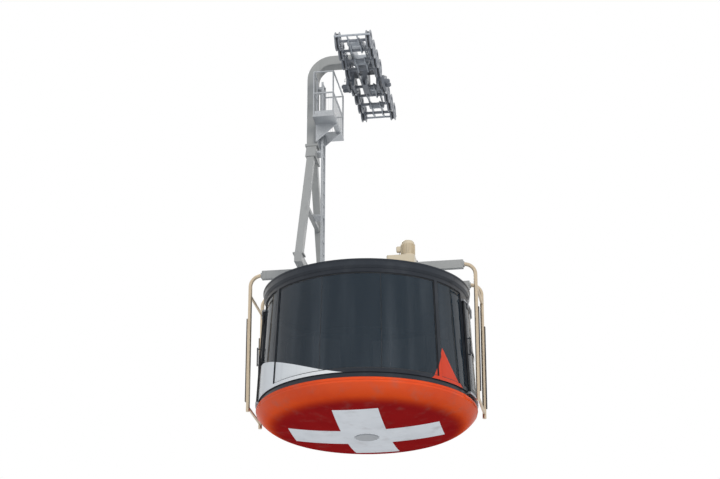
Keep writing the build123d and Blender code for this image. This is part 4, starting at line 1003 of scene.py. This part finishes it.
def dress_ceiling():
    """Curved lamps in a ring, each between two bezels."""
    ceiling_z = wall_high.z
    lens = ((1.50, 0.0), (1.50, 0.010), (1.515, 0.016), (1.565, 0.016), (1.58, 0.010), (1.58, 0.0))
    rim = ((-0.006, 0), (-0.006, 0.009), (0.006, 0.009), (0.006, 0))
    lights = Stock("ceiling_lights", "cabin", lamp_glass)
    bezels = Stock("ceiling_light_bezels", "cabin", finishes["track_alloy"], "track_alloy")
    for middle in (-90, -30, 30, 90, 150, 210):
        angles = [middle - 12 + 2 * k for k in range(13)]
        lights.skin([[around(r, degrees, ceiling_z - drop) for r, drop in lens] for degrees in angles])
        for r in (1.494, 1.586):
            rows = []
            for k in range(13):
                degrees = middle - 12.2 + 2.033 * k
                rows.append([around(r + outward, degrees, ceiling_z - drop) for outward, drop in rim])
            bezels.skin(rows)
    lights.fit()
    bezels.fit()


dress_ceiling()


def dress_console():
    """A screen, buttons in their rings and a stop knob on the sloping top."""
    low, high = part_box("console")
    centre = (low + high) / 2
    panel = Stock("console_panel", "cabin", screen_black)
    top_mid = Vector((0, centre.y, high.z - (high.y - low.y) / 4))
    face = Vector((0, 1, 1)).normalized()
    place = toward(top_mid + face * 0.0055, face)
    panel.block((0.26, 0.16, 0.012), place @ at(-0.12, 0, 0), 0.004)
    panel.fit()
    knobs = Stock("console_buttons", "cabin", button_green)
    stops = Stock("console_stop", "cabin", button_red)
    rings = Stock("console_rings", "cabin", bolt_zinc)
    for column in range(4):
        for row in range(2):
            spot = place @ at(0.07 + 0.045 * column, -0.05 + 0.045 * row, -0.004)
            rings.turned([(0.014, 0), (0.014, 0.004), (0.0115, 0.005)], spot, 20)
            target = stops if (column, row) == (3, 1) else knobs
            target.turned([(0.010, 0.004), (0.010, 0.010), (0.008, 0.012)], spot, 18)
    stem = place @ at(0.13, 0.055, -0.004)
    stops.turned([(0.008, 0), (0.008, 0.02), (0.021, 0.024), (0.023, 0.032), (0.016, 0.040)], stem, 24)
    knobs.fit()
    stops.fit()
    rings.fit()


dress_console()


def dress_handrail():
    """Foot flanges and neck collars on the handrail's posts."""
    ring_r = 2.16
    clamps = Stock("handrail_collars", "cabin", finishes["handrail_steel"], "handrail_steel")
    floor_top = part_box("floor")[1].z
    neck_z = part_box("handrail")[1].z - 0.055
    flange = [(0.045, 0.0005), (0.045, 0.006), (0.022, 0.012), (0.0195, 0.03)]
    collar = [(0.0195, 0), (0.024, 0.012), (0.0235, 0.018)]
    for middle in (-90, 90):
        for k in range(7):
            degrees = middle - 66 + 22 * k
            clamps.turned(flange, at(*around(ring_r, degrees, floor_top)), 24)
            clamps.turned(collar, at(*around(ring_r, degrees, neck_z)), 20)
    clamps.fit()


dress_handrail()


def dress_bowl():
    """Screws that hold the bottom cover by its edge, and the rubber trim on the bowl's rim."""
    cover_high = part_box("bottom_cover")[1]
    screws = Stock("bottom_cover_screws", "cabin", bolt_zinc)
    screw = [(0.0135, 0), (0.0135, 0.003), (0.0095, 0.0035), (0.009, 0.010), (0.007, 0.012)]
    for k in range(16):
        spot = around(cover_high.x + 0.0145, 22.5 * k, cover_high.z)
        screws.turned(screw, toward(spot, (0, 0, -1)), 12)
    screws.fit()
    trim = Stock("rim_trim", "cabin", black_rubber)
    section = [(2.3305, 0), (2.372, 0), (2.372, 0.012), (2.350, 0.020), (2.3305, 0.020)]
    trim.hoop(section, at(0, 0, bowl_high.z), 180)
    trim.fit()


dress_bowl()

# Camera: low under the cabin, a little to the right of the ropes' line
view_azimuth = 9.0
view_elevation = -22.0
view_distance = 45.0
view_lens = 100.0
aim = (cad_box[0] + cad_box[1]) / 2
aim.x = -0.15
azimuth, elevation = math.radians(view_azimuth), math.radians(view_elevation)
back = Vector((
    math.sin(azimuth) * math.cos(elevation),
    -math.cos(azimuth) * math.cos(elevation),
    math.sin(elevation),
))
camera_data = bpy.data.cameras.new("photo_camera")
camera_data.lens = view_lens
camera_data.clip_end = 400.0
camera = bpy.data.objects.new("photo_camera", camera_data)
bpy.context.scene.collection.objects.link(camera)
camera.location = aim + back * view_distance
camera.rotation_mode = "QUATERNION"
camera.rotation_quaternion = (-back).to_track_quat("-Z", "Y")
bpy.context.scene.camera = camera

# Floor: pale and plain, just under the camera
floor_size = 400.0
camera_height = 0.3
floor_mesh = bpy.data.meshes.new("ground")
half = floor_size / 2
corners = [(-half, -half, 0), (half, -half, 0), (half, half, 0), (-half, half, 0)]
floor_mesh.from_pydata(corners, [], [(0, 1, 2, 3)])
ground = bpy.data.objects.new("ground", floor_mesh)
ground.location = (0, 0, camera.location.z - camera_height)
bpy.context.scene.collection.objects.link(ground)


def white_to_camera(tree, surface, target):
    """Shows the target to the eye and in reflections, and the surface to the light."""
    rays = tree.nodes.new("ShaderNodeLightPath")
    shown = rays.outputs["Is Camera Ray"]
    for name in ("Is Glossy Ray", "Is Transmission Ray"):
        larger = tree.nodes.new("ShaderNodeMath")
        larger.operation = "MAXIMUM"
        tree.links.new(shown, larger.inputs[0])
        tree.links.new(rays.outputs[name], larger.inputs[1])
        shown = larger.outputs[0]
    blend = tree.nodes.new("ShaderNodeMixShader")
    tree.links.new(shown, blend.inputs[0])
    tree.links.new(surface, blend.inputs[1])
    tree.links.new(target, blend.inputs[2])
    return blend.outputs[0]


ground_material = bpy.data.materials.new("pale_ground")
ground_material.use_nodes = True
paving = ground_material.node_tree
ground_shader = paving.nodes["Principled BSDF"]
ground_shader.inputs["Base Color"].default_value = (0.8, 0.8, 0.8, 1.0)
ground_shader.inputs["Roughness"].default_value = 0.9
pale = paving.nodes.new("ShaderNodeEmission")
pale.inputs["Color"].default_value = (1.0, 1.0, 1.0, 1.0)
pale.inputs["Strength"].default_value = 1.0
shadowed = paving.nodes.new("ShaderNodeMixShader")
shadowed.inputs[0].default_value = 0.12
paving.links.new(pale.outputs[0], shadowed.inputs[1])
paving.links.new(ground_shader.outputs[0], shadowed.inputs[2])
result = white_to_camera(paving, ground_shader.outputs[0], shadowed.outputs[0])
paving.links.new(result, paving.nodes["Material Output"].inputs["Surface"])
floor_mesh.materials.append(ground_material)

world = bpy.data.worlds.new("studio")
bpy.context.scene.world = world
world.use_nodes = True
sky = world.node_tree
fill = sky.nodes["Background"]
fill.inputs["Color"].default_value = (0.80, 0.88, 1.0, 1.0)
fill.inputs["Strength"].default_value = 0.62
seen = sky.nodes.new("ShaderNodeBackground")
seen.inputs["Color"].default_value = (1.0, 1.0, 1.0, 1.0)
seen.inputs["Strength"].default_value = 1.0
result = white_to_camera(sky, fill.outputs[0], seen.outputs[0])
sky.links.new(result, sky.nodes["World Output"].inputs["Surface"])


def soft_lamp(name, place, size, energy, colour=(1, 1, 1), mirrored=True):
    """A square lamp that faces the middle of the car."""
    data = bpy.data.lights.new(name, "AREA")
    data.size = size
    data.energy = energy
    data.color = colour
    lamp = bpy.data.objects.new(name, data)
    lamp.location = place
    lamp.rotation_mode = "QUATERNION"
    lamp.rotation_quaternion = (Vector(place) - aim).to_track_quat("Z", "Y")
    lamp.visible_glossy = mirrored
    bpy.context.scene.collection.objects.link(lamp)


soft_lamp("key", (14.0, -22.0, 6.0), 12.0, 4200.0, (1.0, 0.97, 0.93), mirrored=False)
soft_lamp("low_fill", (-10.0, -20.0, -12.0), 14.0, 350.0, (0.9, 0.95, 1.0), mirrored=False)
soft_lamp("rim", (-6.0, 20.0, 9.0), 10.0, 2600.0)

bpy.context.scene.view_settings.view_transform = "Standard"
